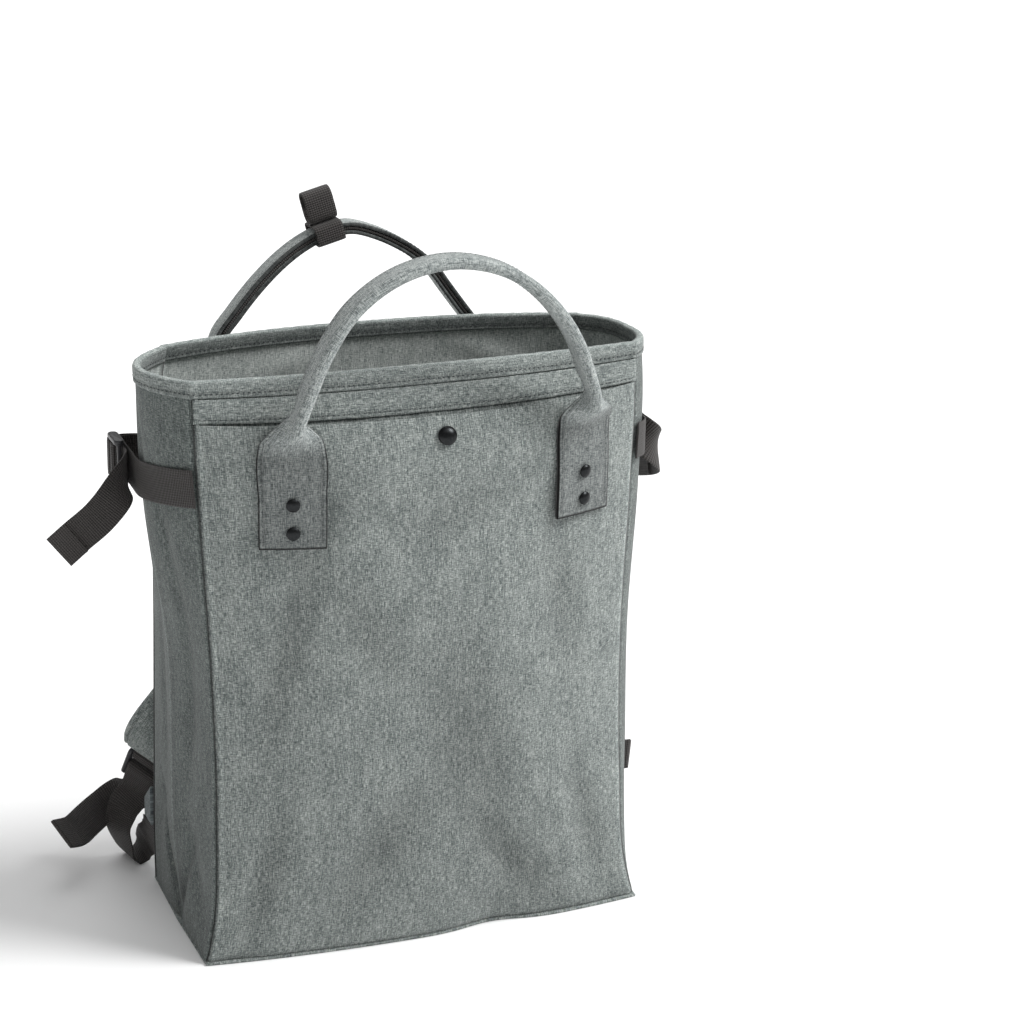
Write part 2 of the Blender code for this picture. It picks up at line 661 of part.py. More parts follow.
def make_keeper(route, edge_y, outward):
    """Webbing band round the back grip, and the open loop that stands on it."""
    index = int(round(KEEPER_AT * (len(route) - 1)))
    x, z = route[index]
    along_x, along_z = unit(route[index + 1] - route[index - 1])
    across = Vector((0.0, 1.0, 0.0))
    up = Vector((-along_z, 0.0, along_x))
    rotation = Matrix((across, up, across.cross(up))).transposed().to_4x4()
    frame = Matrix.Translation((x, edge_y + outward * GRIP_FOLD_DEPTH / 2, z)) @ rotation
    half_height = FOLD_RADIUS + HANDLE_CLOTH / 2 + KEEPER_PLAY
    half_depth = (GRIP_FOLD_DEPTH + HANDLE_CLOTH) / 2 + KEEPER_PLAY
    make_webbing_ring("keeper_band", half_depth, -half_height, half_height, KEEPER_BAND_RADIUS, frame)
    foot = half_height + 2 * WEBBING + GAP
    top = foot + KEEPER_LOOP_HEIGHT - 2 * WEBBING
    make_webbing_ring("keeper_loop", KEEPER_LOOP_WIDTH / 2 - WEBBING, foot, top, KEEPER_LOOP_RADIUS, frame)


# Ladder-lock in its own frame: x across the webbing, y along it with the anchored end low, z out of
# the face. The bars are given by their middles, and a cheek closes each end of them.
LOCK_BARS = (-0.0100, -0.0010, 0.0090)
LOCK_HALF_INSIDE = WEBBING_WIDTH / 2 + LOCK_SIDE_PLAY
TURN = LOCK_BAR / 2 + 2 * GAP + WEBBING / 2
UNDER = TURN + WEBBING + 4 * GAP


def join_solids(base, other):
    """Union of two closed solids, applied, with the second one removed."""
    union = base.modifiers.new("join", "BOOLEAN")
    union.operation = "UNION"
    union.object = other
    union.solver = "EXACT"
    mesh = bpy.data.meshes.new_from_object(base.evaluated_get(bpy.context.evaluated_depsgraph_get()))
    base.modifiers.remove(union)
    base.data = mesh
    bpy.data.objects.remove(other, do_unlink=True)


def make_lock(name, frame):
    """Ladder-lock: two cheeks joined by three bars, as one moulded piece."""
    cheek = rounded_outline(LOCK_LENGTH / 2, -LOCK_CHEEK_HEIGHT / 2, LOCK_CHEEK_HEIGHT / 2, LOCK_CHEEK_RADIUS)
    solids = []
    for side in (-1, 1):
        rings = [[(side * x, y, z) for y, z in cheek]
                 for x in (LOCK_HALF_INSIDE, LOCK_HALF_INSIDE + LOCK_CHEEK)]
        solids.append(loft_solid(name, rings, PLASTIC_BLACK))
    reach = LOCK_HALF_INSIDE + LOCK_CHEEK / 2
    half = LOCK_BAR / 2
    for middle in LOCK_BARS:
        rings = [[(x, middle - half, -half), (x, middle + half, -half),
                  (x, middle + half, half), (x, middle - half, half)] for x in (-reach, reach)]
        solids.append(loft_solid(name, rings, PLASTIC_BLACK))
    base = solids[0]
    for other in solids[1:]:
        join_solids(base, other)
    base.name = name
    base.matrix_world = frame


def round_bar(middle):
    """Webbing's way round the high side of one bar, as y and z in the lock's frame."""
    near, far = middle - TURN, middle + TURN
    return [(near, TURN - CORNER_REACH), (near + CORNER_CUT, TURN - CORNER_CUT), (near + CORNER_REACH, TURN),
            (far - CORNER_REACH, TURN), (far - CORNER_CUT, TURN - CORNER_CUT), (far, TURN - CORNER_REACH)]


def strap_thread():
    """The strap comes in under the lock, turns over the middle bar and leaves under the front bar."""
    middle = LOCK_BARS[1]
    near, far = middle - TURN, middle + TURN
    exit_y = LOCK_LENGTH / 2 + LOCK_LEAD
    return ([(exit_y, -UNDER), (LOCK_BARS[2] / 2, -UNDER), (near + CORNER_REACH, -UNDER),
             (near + CORNER_CUT, -UNDER + CORNER_CUT), (near, -UNDER + CORNER_REACH)] + round_bar(middle)
            + [(far, -TURN + CORNER_REACH), (far + CORNER_CUT, -TURN + CORNER_CUT),
               (far + CORNER_REACH, -TURN), (LOCK_BARS[2], -TURN), (exit_y, -TURN)])


def anchor_turn():
    """The anchor's webbing turns round the low bar, from its high side to its low side."""
    middle = LOCK_BARS[0]
    over = [point for point in round_bar(middle) if point[0] > middle]
    under = [(y, -z) for y, z in over[::-1]]
    return [(middle, TURN)] + over + under + [(middle, -TURN)]


def to_frame(frame, yz_points):
    """World places of points that are given as y and z in a frame, and the width direction there."""
    points = [tuple(frame @ Vector((0.0, y, z))) for y, z in yz_points]
    across = tuple(frame.to_3x3() @ Vector((1.0, 0.0, 0.0)))
    return points, [across] * len(points)


def lock_frame(origin, along, across):
    """Frame of a lock from its place, the direction its strap comes from, and a width direction."""
    y_axis = Vector(along).normalized()
    x_axis = (Vector(across) - y_axis * Vector(across).dot(y_axis)).normalized()
    z_axis = x_axis.cross(y_axis)
    rotation = Matrix((x_axis, y_axis, z_axis)).transposed().to_4x4()
    return Matrix.Translation(Vector(origin)) @ rotation


def easy_bend(start, start_way, end, end_way, count=6):
    """Places on the cubic that leaves one place in one direction and enters another in its own."""
    start, end = np.asarray(start, float), np.asarray(end, float)
    reach = np.linalg.norm(end - start)
    t = np.linspace(0.0, 1.0, count)[:, None]
    leave, enter = unit(start_way) * reach, unit(end_way) * reach
    return ((2 * t ** 3 - 3 * t ** 2 + 1) * start + (t ** 3 - 2 * t ** 2 + t) * leave
            + (-2 * t ** 3 + 3 * t ** 2) * end + (t ** 3 - t ** 2) * enter)


def make_webbing(name, points, across):
    """Webbing through a list of places, with its width directions kept on one side."""
    across = unit(across)
    for index in range(1, len(across)):
        if np.dot(across[index], across[index - 1]) < 0:
            across[index] *= -1
    strip_solid(name, points, across, WEBBING_WIDTH, WEBBING, WEBBING_BLACK)


def doubled(name, frame, route):
    """Webbing that runs along a route from its fixed end to a lock's low bar, round it, and back."""
    turn, turn_across = to_frame(frame, anchor_turn())
    across = np.array(turn_across[0])
    tangents = unit(np.gradient(route, axis=0))
    normals = unit(np.cross(across, tangents))
    share = np.linspace(0.0, 1.0, len(route))[:, None]
    spread = (WEBBING / 2 + GAP) * (1 - share) + TURN * share
    if np.dot(normals[-1], np.array(turn[0]) - route[-1]) < 0:
        normals = -normals
    high, low = route + normals * spread, route - normals * spread
    points = [*high, *turn, *low[::-1]]
    make_webbing(name, points, [across] * len(points))


# Free webbing from a lock's middle: places as shares of the named length, width as a direction
FREE_STATIONS = 12
TailRow = namedtuple("TailRow", "x y z across_x across_y across_z")
SIDE_TAIL_LEFT = [
    TailRow(-0.012, -0.373, -0.020, 0.12, 0.0, -0.99), TailRow(-0.060, -0.480, -0.060, 0.45, 0.0, -0.89),
    TailRow(-0.135, -0.560, -0.135, 0.72, 0.0, -0.69), TailRow(-0.292, -0.590, -0.300, 0.70, 0.0, -0.71),
    TailRow(-0.511, -0.590, -0.471, 0.66, 0.0, -0.75), TailRow(-0.661, -0.600, -0.587, 0.60, 0.0, -0.80),
]
SIDE_TAIL_RIGHT = [
    TailRow(0.030, -0.290, -0.020, 0.0, 0.0, -1.0), TailRow(0.090, -0.400, -0.090, -0.1, -0.1, -1.0),
    TailRow(0.170, -0.427, -0.190, -0.1, -0.2, -0.95), TailRow(0.250, -0.373, -0.290, 0.0, -0.3, -0.95),
    TailRow(0.297, -0.240, -0.370, 0.0, -0.4, -0.92), TailRow(0.303, -0.067, -0.440, 0.0, -0.4, -0.92),
    TailRow(0.277, 0.093, -0.490, 0.0, -0.35, -0.94),
]

# Side strap round the gusset and its anchor, at places from -1 at the front seam to 1 at the back seam
WRAP_PLACES = (-0.99, -0.80, -0.60, -0.40, -0.20, 0.0)
ANCHOR_PLACE = 0.96
ANCHOR_LEAN = 0.6


def side_lock_frame(side):
    """Ladder-lock of a side strap: behind the widest place of the gusset, its bars upright."""
    z = BAG_HEIGHT - SIDE_LOCK_DROP
    widest = gusset_point(side, 0.0, z, -STRAP_OFF_GUSSET - WEBBING / 2)
    seam = gusset_point(side, 1.0, z)
    origin = (widest[0] + side * UNDER, seam[1] - LOCK_FROM_SEAM, z)
    return lock_frame(origin, (0.0, -1.0, 0.0), (0.0, 0.0, side))


def make_side_strap(side, name, tail_rows):
    """Compression strap: from the front seam round the gusset, through its lock, to the free tail."""
    frame = side_lock_frame(side)
    seat = -STRAP_OFF_GUSSET - WEBBING / 2
    upright = (0.0, 0.0, side)
    wrap = []
    for t in WRAP_PLACES:
        z = BAG_HEIGHT - SIDE_LOCK_DROP - (SIDE_LOCK_DROP - SIDE_STRAP_DROP) * t
        wrap.append(tuple(gusset_point(side, t, z, seat)))
    thread, thread_across = to_frame(frame, strap_thread())
    origin = np.array(frame.translation)
    fine = smooth_route(tail_rows, FREE_STATIONS)
    tail = [tuple(origin + SIDE_TAIL_LENGTH * row[:3]) for row in fine]
    tail_across = [row[3:] for row in fine]
    make_webbing("side_strap_" + name, wrap + thread + tail,
                 [upright] * len(wrap) + thread_across + tail_across)
    seam = gusset_point(side, ANCHOR_PLACE, BAG_HEIGHT - SIDE_LOCK_DROP, seat - WEBBING - GAP)
    leave = frame @ Vector((0.0, -LOCK_LENGTH / 2, 0.0))
    route = easy_bend(seam, (side, ANCHOR_LEAN, 0.0), leave, (0.0, -1.0, 0.0))
    doubled("side_anchor_" + name, frame, route)
    make_lock("side_buckle_" + name, frame)


STRAP_STATIONS = 17
PAD_EDGE = 0.5
PAD_SIDE = 0.35


def strap_rows(side):
    """Centre, width direction, tangent and pad share along a shoulder strap."""
    rows = np.array([tuple(row) for row in SHOULDER_ROUTE])
    steps = np.linspace(0.0, len(rows) - 1.0, STRAP_STATIONS)
    fine = np.array([hermite_lookup(np.arange(len(rows)), rows, step) for step in steps])
    centres, surface_across = [], []
    for x_share, z_share, lift, _, pad in fine:
        x, z = -side * x_share * BASE_WIDTH / 2, z_share * BAG_HEIGHT
        reach = SHOULDER_WIDTH / 4
        y = surface_y(back_point, x, z)
        slope = (surface_y(back_point, x + reach, z) - surface_y(back_point, x - reach, z)) / (2 * reach)
        centres.append((x, y + lift * BASE_DEPTH + pad * SHOULDER_PAD / 2 + 3 * GAP, z))
        surface_across.append((1.0, slope, 0.0))
    tangents = unit(np.gradient(np.array(centres), axis=0))
    across = np.array(surface_across)
    across = unit(across - tangents * np.sum(across * tangents, axis=1, keepdims=True))
    twisted = []
    for direction, tangent, twist in zip(across, tangents, fine[:, 3]):
        turn = Matrix.Rotation(math.radians(-side * twist), 3, Vector(tangent))
        twisted.append(tuple(turn @ Vector(direction)))
    return np.array(centres), np.array(twisted), tangents, fine[:, 4]


def make_pad(name, centres, across, tangents, pads):
    """Padded strap: an oval-edged section along the centre line, thinner where it is sewn in."""
    rings = []
    for index, (centre, side_way, tangent, pad) in enumerate(zip(centres, across, tangents, pads)):
        share = index / (len(centres) - 1)
        half = (SHOULDER_WIDTH * (1 - share) + SHOULDER_TIP_WIDTH * share) / 2
        rise = pad * SHOULDER_PAD / 2
        up = np.cross(side_way, tangent)
        edge = half - PAD_EDGE * rise
        section = [(-half, PAD_SIDE * rise), (-half, -PAD_SIDE * rise), (-edge, -rise), (edge, -rise),
                   (half, -PAD_SIDE * rise), (half, PAD_SIDE * rise), (edge, rise), (-edge, rise)]
        rings.append([centre + side_way * s + up * r for s, r in section])
    loft_solid(name, rings, CLOTH_GREY)


# Lower webbing on the left, from its lock's middle: places as shares of WEBBING_REACH
LOWER_LOOP = [
    TailRow(-0.040, -0.330, -0.600, 0.10, -1.00, 0.0), TailRow(-0.040, -0.330, -0.740, 0.10, -1.00, 0.0),
    TailRow(-0.035, -0.240, -0.900, 0.15, -1.00, 0.0), TailRow(-0.040, 0.050, -1.124, 0.20, -0.97, 0.0),
    TailRow(-0.070, 0.140, -1.300, 0.18, -0.98, 0.0), TailRow(-0.160, 0.155, -1.384, 0.15, -0.99, 0.0),
    TailRow(-0.270, 0.130, -1.300, 0.20, -0.98, 0.0), TailRow(-0.350, 0.090, -1.084, 0.40, -0.91, -0.03),
    TailRow(-0.410, 0.060, -0.784, 0.52, -0.84, -0.15), TailRow(-0.320, 0.070, -0.540, 0.50, -0.68, -0.50),
]
LOWER_TAIL = [
    TailRow(-0.116, 0.190, -0.420, 0.60, -0.66, -0.45), TailRow(-0.310, 0.480, -0.530, 0.45, -0.60, -0.65),
    TailRow(-0.520, 0.510, -0.684, 0.30, -0.60, -0.75), TailRow(-0.785, 0.330, -0.774, 0.12, -0.75, -0.65),
    TailRow(-1.060, 0.010, -0.784, 0.0, -0.88, -0.45), TailRow(-1.290, -0.210, -0.694, -0.2, -0.95, -0.2),
]


def mirrored(points, side):
    """Rows of places or directions of the left side, mirrored for the right side."""
    return [np.array(point) * np.array([-side, 1.0, 1.0]) for point in points]


def make_shoulder_strap(side, name):
    """Pad, tip webbing, ladder-lock, lower webbing with its tail, and the cloth tab."""
    centres, across, tangents, pads = strap_rows(side)
    make_pad("shoulder_strap_" + name, centres, across, tangents, pads)
    end, end_across, end_tangent = centres[-1], across[-1], tangents[-1]
    origin = end + end_tangent * TIP_LENGTH
    frame = lock_frame(origin, end_tangent, end_across)
    start = end + end_tangent * 2 * GAP
    leave = end + end_tangent * (TIP_LENGTH - LOCK_LENGTH / 2)
    doubled("strap_tip_" + name, frame, easy_bend(start, end_tangent, leave, end_tangent, 3))
    make_lock("strap_buckle_" + name, frame)
    loop_rows = smooth_route(LOWER_LOOP, 2 * FREE_STATIONS)
    tail_rows = smooth_route(LOWER_TAIL, FREE_STATIONS)
    loop = [origin + WEBBING_REACH * place for place in mirrored(loop_rows[:, :3], side)]
    tail = [origin + WEBBING_REACH * place for place in mirrored(tail_rows[:, :3], side)]
    thread, thread_across = to_frame(frame, strap_thread())
    directions = mirrored(loop_rows[:, 3:], side) + thread_across + mirrored(tail_rows[:, 3:], side)
    make_webbing("lower_webbing_" + name, loop + thread + tail, directions)
    make_tab("webbing_tab_" + name, side, loop[0])


def make_tab(name, side, webbing_end):
    """Folded cloth tab: a wing that stands out of the back seam, just above the webbing's end."""
    low = webbing_end[2] + 6 * GAP
    x, seam_y, _ = back_point(side, low)
    rings = []
    for y, height in ((seam_y + 3 * GAP, TAB_SEAM_HEIGHT), (seam_y + 3 * GAP + TAB_REACH, TAB_END_HEIGHT)):
        half = TAB_THICKNESS / 2
        rings.append([(x - half, y, low), (x + half, y, low),
                      (x + half, y, low + height), (x - half, y, low + height)])
    loft_solid(name, rings, CLOTH_DARK)


def build():
    """Model every piece of the backpack."""
    make_walls()
    make_base()
    make_pocket_and_bands()
    make_binding()
    make_handle("front", FRONT_GRIP, FRONT_SHIFT, FRONT_HANDLE_RISE, -1, pocket_point)
    route, edge_y = make_handle("back", BACK_GRIP, BACK_SHIFT, BACK_HANDLE_RISE, 1, back_point)
    make_keeper(route, edge_y, 1)
    make_rivets()
    make_snap()
    make_side_strap(-1, "left", SIDE_TAIL_LEFT)
    make_side_strap(1, "right", SIDE_TAIL_RIGHT)
    make_shoulder_strap(-1, "left")
    make_shoulder_strap(1, "right")


build()
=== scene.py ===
"""Convertible backpack, dressed: each cloth and webbing piece as a fine surface with its finish."""
import math
from collections import namedtuple

import bpy
import numpy as np
from mathutils import Matrix, Vector


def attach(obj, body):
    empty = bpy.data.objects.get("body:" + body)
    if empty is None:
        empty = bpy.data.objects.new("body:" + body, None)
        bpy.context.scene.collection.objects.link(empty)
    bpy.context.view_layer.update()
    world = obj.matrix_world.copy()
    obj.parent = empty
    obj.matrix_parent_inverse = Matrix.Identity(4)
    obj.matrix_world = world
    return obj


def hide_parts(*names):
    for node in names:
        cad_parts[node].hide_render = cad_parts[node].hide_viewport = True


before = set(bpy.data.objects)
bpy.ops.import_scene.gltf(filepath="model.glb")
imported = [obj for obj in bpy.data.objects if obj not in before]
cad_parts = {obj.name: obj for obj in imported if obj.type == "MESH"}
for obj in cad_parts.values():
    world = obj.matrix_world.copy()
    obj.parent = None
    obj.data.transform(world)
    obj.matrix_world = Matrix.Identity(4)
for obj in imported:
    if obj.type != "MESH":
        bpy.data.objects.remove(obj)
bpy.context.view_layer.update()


# ---- Studio: a pale floor that runs far behind the bag, a white room, and a long lens.
# The camera stands to the front left of the bag, a little above its rim.
def to_linear(code):
    """Linear colour of an sRGB hex code: over the toe it is ((c + 0.055) / 1.055) ** 2.4."""
    srgb = np.array([int(code[i:i + 2], 16) / 255 for i in (1, 3, 5)])
    linear = np.where(srgb <= 0.04045, srgb / 12.92, ((srgb + 0.055) / 1.055) ** 2.4)
    return (*linear.tolist(), 1.0)


def add_node(tree, kind, inputs=None, **settings):
    """Add a node, set its settings, and fill its inputs from values or other nodes' sockets."""
    node = tree.nodes.new(kind)
    for key, value in settings.items():
        setattr(node, key, value)
    for key, value in (inputs or {}).items():
        if isinstance(value, bpy.types.NodeSocket):
            tree.links.new(value, node.inputs[key])
        else:
            node.inputs[key].default_value = value
    return node


def new_material(name, finish):
    """Material with its tree and its shader, the shader's plain inputs set from finish."""
    material = bpy.data.materials.new(name)
    material.use_nodes = True
    shader = material.node_tree.nodes["Principled BSDF"]
    for key, value in finish.items():
        shader.inputs[key].default_value = value
    return material, material.node_tree, shader


def two_tones(tree, factor, dark, light):
    """Ramp node that runs from dark to light over a factor."""
    ramp = add_node(tree, "ShaderNodeValToRGB", {"Fac": factor})
    for element, code in zip(ramp.color_ramp.elements, (dark, light)):
        element.color = to_linear(code)
    return ramp


def speckled_material(name, scale, detail, dark, light, finish):
    """Material whose colour runs from dark to light with a noise over the object's own places."""
    material, tree, shader = new_material(name, finish)
    place = add_node(tree, "ShaderNodeTexCoord").outputs["Object"]
    noise = add_node(tree, "ShaderNodeTexNoise",
                     {"Vector": place, "Scale": scale, "Detail": detail}).outputs["Fac"]
    colour = two_tones(tree, noise, dark, light).outputs["Color"]
    tree.links.new(colour, shader.inputs["Base Color"])
    return material, tree, shader, noise


# Painted paper sweep: matt and nearly white, with a faint unevenness
sweep_paper = speckled_material("white_paper_sweep", 3.0, 2.0, "#f6f6f6", "#fcfcfc",
                                {"Roughness": 0.9, "Specular IOR Level": 0.1})[0]
FLOOR_HALF, VIEW_END = 40.0, 80.0
floor_mesh = bpy.data.meshes.new("paper_sweep")
floor_mesh.from_pydata([(x * FLOOR_HALF, y * FLOOR_HALF, 0.0)
                        for x, y in ((-1, -1), (1, -1), (1, 1), (-1, 1))], [], [(0, 1, 2, 3)])
floor_mesh.materials.append(sweep_paper)
paper_floor = bpy.data.objects.new("paper_sweep", floor_mesh)
bpy.context.scene.collection.objects.link(paper_floor)

CAMERA_PLACE = (-0.544, -1.584, 0.840)
CAMERA_TURN, CAMERA_RISE, CAMERA_ROLL = np.radians([-21.65, 18.42, 1.13])
SENSOR = 36.0
CAMERA_LENS = 2600.0 / 1024.0 * SENSOR

back = np.array([math.sin(CAMERA_TURN) * math.cos(CAMERA_RISE),
                 -math.cos(CAMERA_TURN) * math.cos(CAMERA_RISE), math.sin(CAMERA_RISE)])
level = np.array([math.cos(CAMERA_TURN), math.sin(CAMERA_TURN), 0.0])
upright = np.cross(back, level)
right = math.cos(CAMERA_ROLL) * level + math.sin(CAMERA_ROLL) * upright
upright = -math.sin(CAMERA_ROLL) * level + math.cos(CAMERA_ROLL) * upright
lens = bpy.data.cameras.new("long_lens")
lens.lens, lens.sensor_width, lens.clip_end = CAMERA_LENS, SENSOR, VIEW_END
camera = bpy.data.objects.new("camera", lens)
turned = np.eye(4)
turned[:3, :3] = np.stack([right, upright, back], axis=1)
turned[:3, 3] = CAMERA_PLACE
camera.matrix_world = Matrix(turned.tolist())
bpy.context.scene.collection.objects.link(camera)
bpy.context.scene.camera = camera

# The key stands to the right, so the left gusset and the left of the front fall into shade
Lamp = namedtuple("Lamp", "name from_x from_y from_z softness strength")
for lamp in (Lamp("key_from_right", 1.26, -0.52, 1.42, 30.0, 3.45),
             Lamp("fill_from_above_front", 0.15, -0.62, 1.30, 40.0, 0.32),
             Lamp("rim_from_behind", 0.10, 0.80, 1.10, 50.0, 0.75)):
    sun = bpy.data.lights.new(lamp.name, "SUN")
    sun.angle, sun.energy = math.radians(lamp.softness), lamp.strength
    sun_object = bpy.data.objects.new(lamp.name, sun)
    towards = Vector((lamp.from_x, lamp.from_y, lamp.from_z))
    sun_object.rotation_euler = towards.to_track_quat("Z", "Y").to_euler()
    bpy.context.scene.collection.objects.link(sun_object)
ROOM_LIGHT = 0.315
room = bpy.data.worlds.new("white_room")
room.use_nodes = True
room_light = room.node_tree.nodes["Background"].inputs
room_light["Color"].default_value, room_light["Strength"].default_value = (1.0,) * 4, ROOM_LIGHT
bpy.context.scene.world = room
bpy.context.scene.view_settings.view_transform = "Standard"


# ---- Walls: front, back and two side gussets of woven polyester, sewn along four upright seams.
# The cloth is a two-tone grey melange, cut with its grain upright, about 1.5 mm with its lining.
BAG_HEIGHT, BASE_WIDTH, BASE_DEPTH = 0.400, 0.316, 0.140
CLOTH, BASE_THICKNESS, GAP = 0.0015, 0.0020, 0.0003
BINDING_LEG, BINDING_HEIGHT, BAND_HEIGHT, BAND_CLOTH = 0.0010, 0.0110, 0.0265, 0.0010
POCKET_GAPE, POCKET_GAPE_REACH = 0.0075, 0.090
DENT_DEPTH, DENT_PLACE, DENT_HALF_WIDTH, DENT_RISE = 0.0070, 0.095, 0.026, 0.030
PANEL_TOP = BAG_HEIGHT - BINDING_LEG - 2 * GAP
BAND_BOTTOM, BINDING_BOTTOM = BAG_HEIGHT - BAND_HEIGHT, BAG_HEIGHT - BINDING_HEIGHT
WALL_BOTTOM = BASE_THICKNESS + GAP
LAYER = CLOTH + 3 * GAP
SEAM_TRIM = CLOTH + 2 * GAP
HALF, GUSSET_HALF = BASE_WIDTH / 2, BASE_DEPTH / 2
INNER_U, OUTER_U = 1 - 2 * SEAM_TRIM / HALF, 1 - GAP / HALF
PANEL_CROWN_POWER, RIGHT_CROWN_POWER = 2.4, 3.0
CREASE_SOFTNESS, SEARCH_STEPS = 0.0016, 6

# Plan of the bag at rising heights: corners in halves of the base, crowns in shares of its depth
Section = namedtuple(
    "Section", "height fl_x fl_y fr_x fr_y bl_x bl_y br_x br_y front back left right crease")
SECTIONS = [
    (0.00, -0.990, -1.010, 0.990, -1.015, -0.994, 0.980, 0.994, 0.980,
     0.068, 0.040, 0.010, 0.020, 1.0),
    (0.06, -0.958, -1.000, 0.950, -0.990, -0.998, 0.957, 0.985, 0.957,
     0.110, 0.057, 0.040, 0.070, 1.0),
    (0.25, -0.930, -0.970, 0.915, -0.930, -0.994, 0.914, 0.968, 0.914,
     0.190, 0.070, 0.064, 0.114, 1.0),
    (0.50, -0.935, -0.930, 0.921, -0.814, -0.984, 0.871, 0.956, 0.871,
     0.245, 0.086, 0.068, 0.121, 0.9),
    (0.75, -0.967, -0.921, 0.959, -0.729, -0.981, 0.771, 0.949, 0.771,
     0.240, 0.114, 0.143, 0.143, 0.2),
    (0.93, -0.981, -0.857, 0.972, -0.700, -0.962, 0.643, 0.937, 0.643,
     0.172, 0.150, 0.175, 0.136, 0.0),
    (1.00, -0.976, -0.790, 0.970, -0.670, -0.949, 0.560, 0.930, 0.575,
     0.056, 0.165, 0.186, 0.122, 0.0),
]


def unit(vectors):
    """Vectors divided by their own length."""
    return vectors / np.linalg.norm(vectors, axis=-1, keepdims=True)


def bell(distance, width):
    """Round bump over a distance: exp(-(distance / width) ** 2)."""
    return np.exp(-(distance / width) ** 2)


def cubic(t, start, leave, end, enter):
    """Cubic between two places, with t from 0 to 1 and the slopes leave and enter at its ends.

    It is (2t3 - 3t2 + 1) start + (t3 - 2t2 + t) leave + (3t2 - 2t3) end + (t3 - t2) enter.
    """
    return ((2 * t ** 3 - 3 * t ** 2 + 1) * start + (t ** 3 - 2 * t ** 2 + t) * leave
            + (3 * t ** 2 - 2 * t ** 3) * end + (t ** 3 - t ** 2) * enter)


def smooth_rows(knots, values, at):
    """Values at any places through rows: a cubic on each span, with slopes from the neighbours."""
    knots, values, at = (np.asarray(numbers, float) for numbers in (knots, values, at))
    slopes = np.gradient(values, knots, axis=0)
    index = np.clip(np.searchsorted(knots, at, side="right") - 1, 0, len(knots) - 2)
    span = (knots[index + 1] - knots[index])[..., None]
    t = (at - knots[index])[..., None] / span
    after = index + 1
    return cubic(t, values[index], span * slopes[index], values[after], span * slopes[after])


def matched(along, z):
    """Places along a wall and heights as number arrays of one shape."""
    return np.broadcast_arrays(np.asarray(along, float), np.asarray(z, float))


def plan_at(z):
    """Section of the bag at each height, as a Section of arrays."""
    rows = smooth_rows([row[0] for row in SECTIONS], SECTIONS, np.asarray(z, float) / BAG_HEIGHT)
    return Section(*np.moveaxis(rows, -1, 0))


def corner(plan, name):
    """Plan places of one corner, such as fl for front left."""
    shares = [getattr(plan, name + "_x") * HALF, getattr(plan, name + "_y") * GUSSET_HALF]
    return np.stack(shares, axis=-1)


def wall_place(start, end, along, crown, z):
    """Place on a wall: start + chord * along + the chord's outward normal * crown, at height z."""
    chord = end - start
    outward = unit(np.stack([chord[..., 1], -chord[..., 0]], axis=-1))
    plan = start + chord * along[..., None] + outward * crown[..., None]
    return np.concatenate([plan, z[..., None]], axis=-1)


def front_place(u, z, inset=0.0):
    """Front at u from -1 to 1: a crown of 1 - |u| ** 2.4, less a dent over the bottom edge."""
    u, z = matched(u, z)
    plan = plan_at(z)
    crown = plan.front * BASE_DEPTH * (1 - np.abs(u) ** PANEL_CROWN_POWER)
    dent = DENT_DEPTH * bell(u * HALF - DENT_PLACE / 2, DENT_HALF_WIDTH) * bell(z, DENT_RISE)
    return wall_place(corner(plan, "fl"), corner(plan, "fr"), (u + 1) / 2, crown - dent - inset, z)


def back_place(u, z, inset=0.0):
    """Back at u from -1 at the left seam to 1 at the right seam."""
    u, z = matched(u, z)
    plan = plan_at(z)
    crown = plan.back * BASE_DEPTH * (1 - np.abs(u) ** PANEL_CROWN_POWER)
    return wall_place(corner(plan, "br"), corner(plan, "bl"), (1 - u) / 2, crown - inset, z)


def gusset_place(side, t, z, inset=0.0, trim=0.0):
    """Gusset at t from -1 at the front seam to 1 at the back; the left has an upright crease."""
    t, z = matched(t, z)
    plan = plan_at(z)
    if side < 0:
        front, rear = corner(plan, "fl"), corner(plan, "bl")
        creased, rounded = 1 - np.sqrt(t ** 2 + CREASE_SOFTNESS), 1 - t ** 2
        crown = plan.left * (plan.crease * creased + (1 - plan.crease) * rounded)
    else:
        front, rear = corner(plan, "fr"), corner(plan, "br")
        crown = plan.right * (1 - np.abs(t) ** RIGHT_CROWN_POWER)
    t = t * (1 - 2 * trim / np.linalg.norm(rear - front, axis=-1))
    run = (rear, front, (1 - t) / 2) if side < 0 else (front, rear, (t + 1) / 2)
    return wall_place(*run, crown * BASE_DEPTH - inset, z)


def pocket_place(u, z, inset=0.0):
    """Outer face of the pocket: the front plus a gape, a squared cosine that fades downwards."""
    below = np.clip((BAND_BOTTOM - z) / POCKET_GAPE_REACH, 0.0, 1.0)
    gape = POCKET_GAPE * (1 - np.abs(u) ** PANEL_CROWN_POWER) * np.cos(below * np.pi / 2) ** 2
    return front_place(u, z, inset - gape)


def surface_y(place_of, x, z):
    """y of the front or back at given x and z: u is stepped by the error in x, a few times."""
    x, z = matched(x, z)
    u = x / HALF
    for _ in range(SEARCH_STEPS):
        u = u - (place_of(u, z)[..., 0] - x) / HALF
    return place_of(u, z)[..., 1]


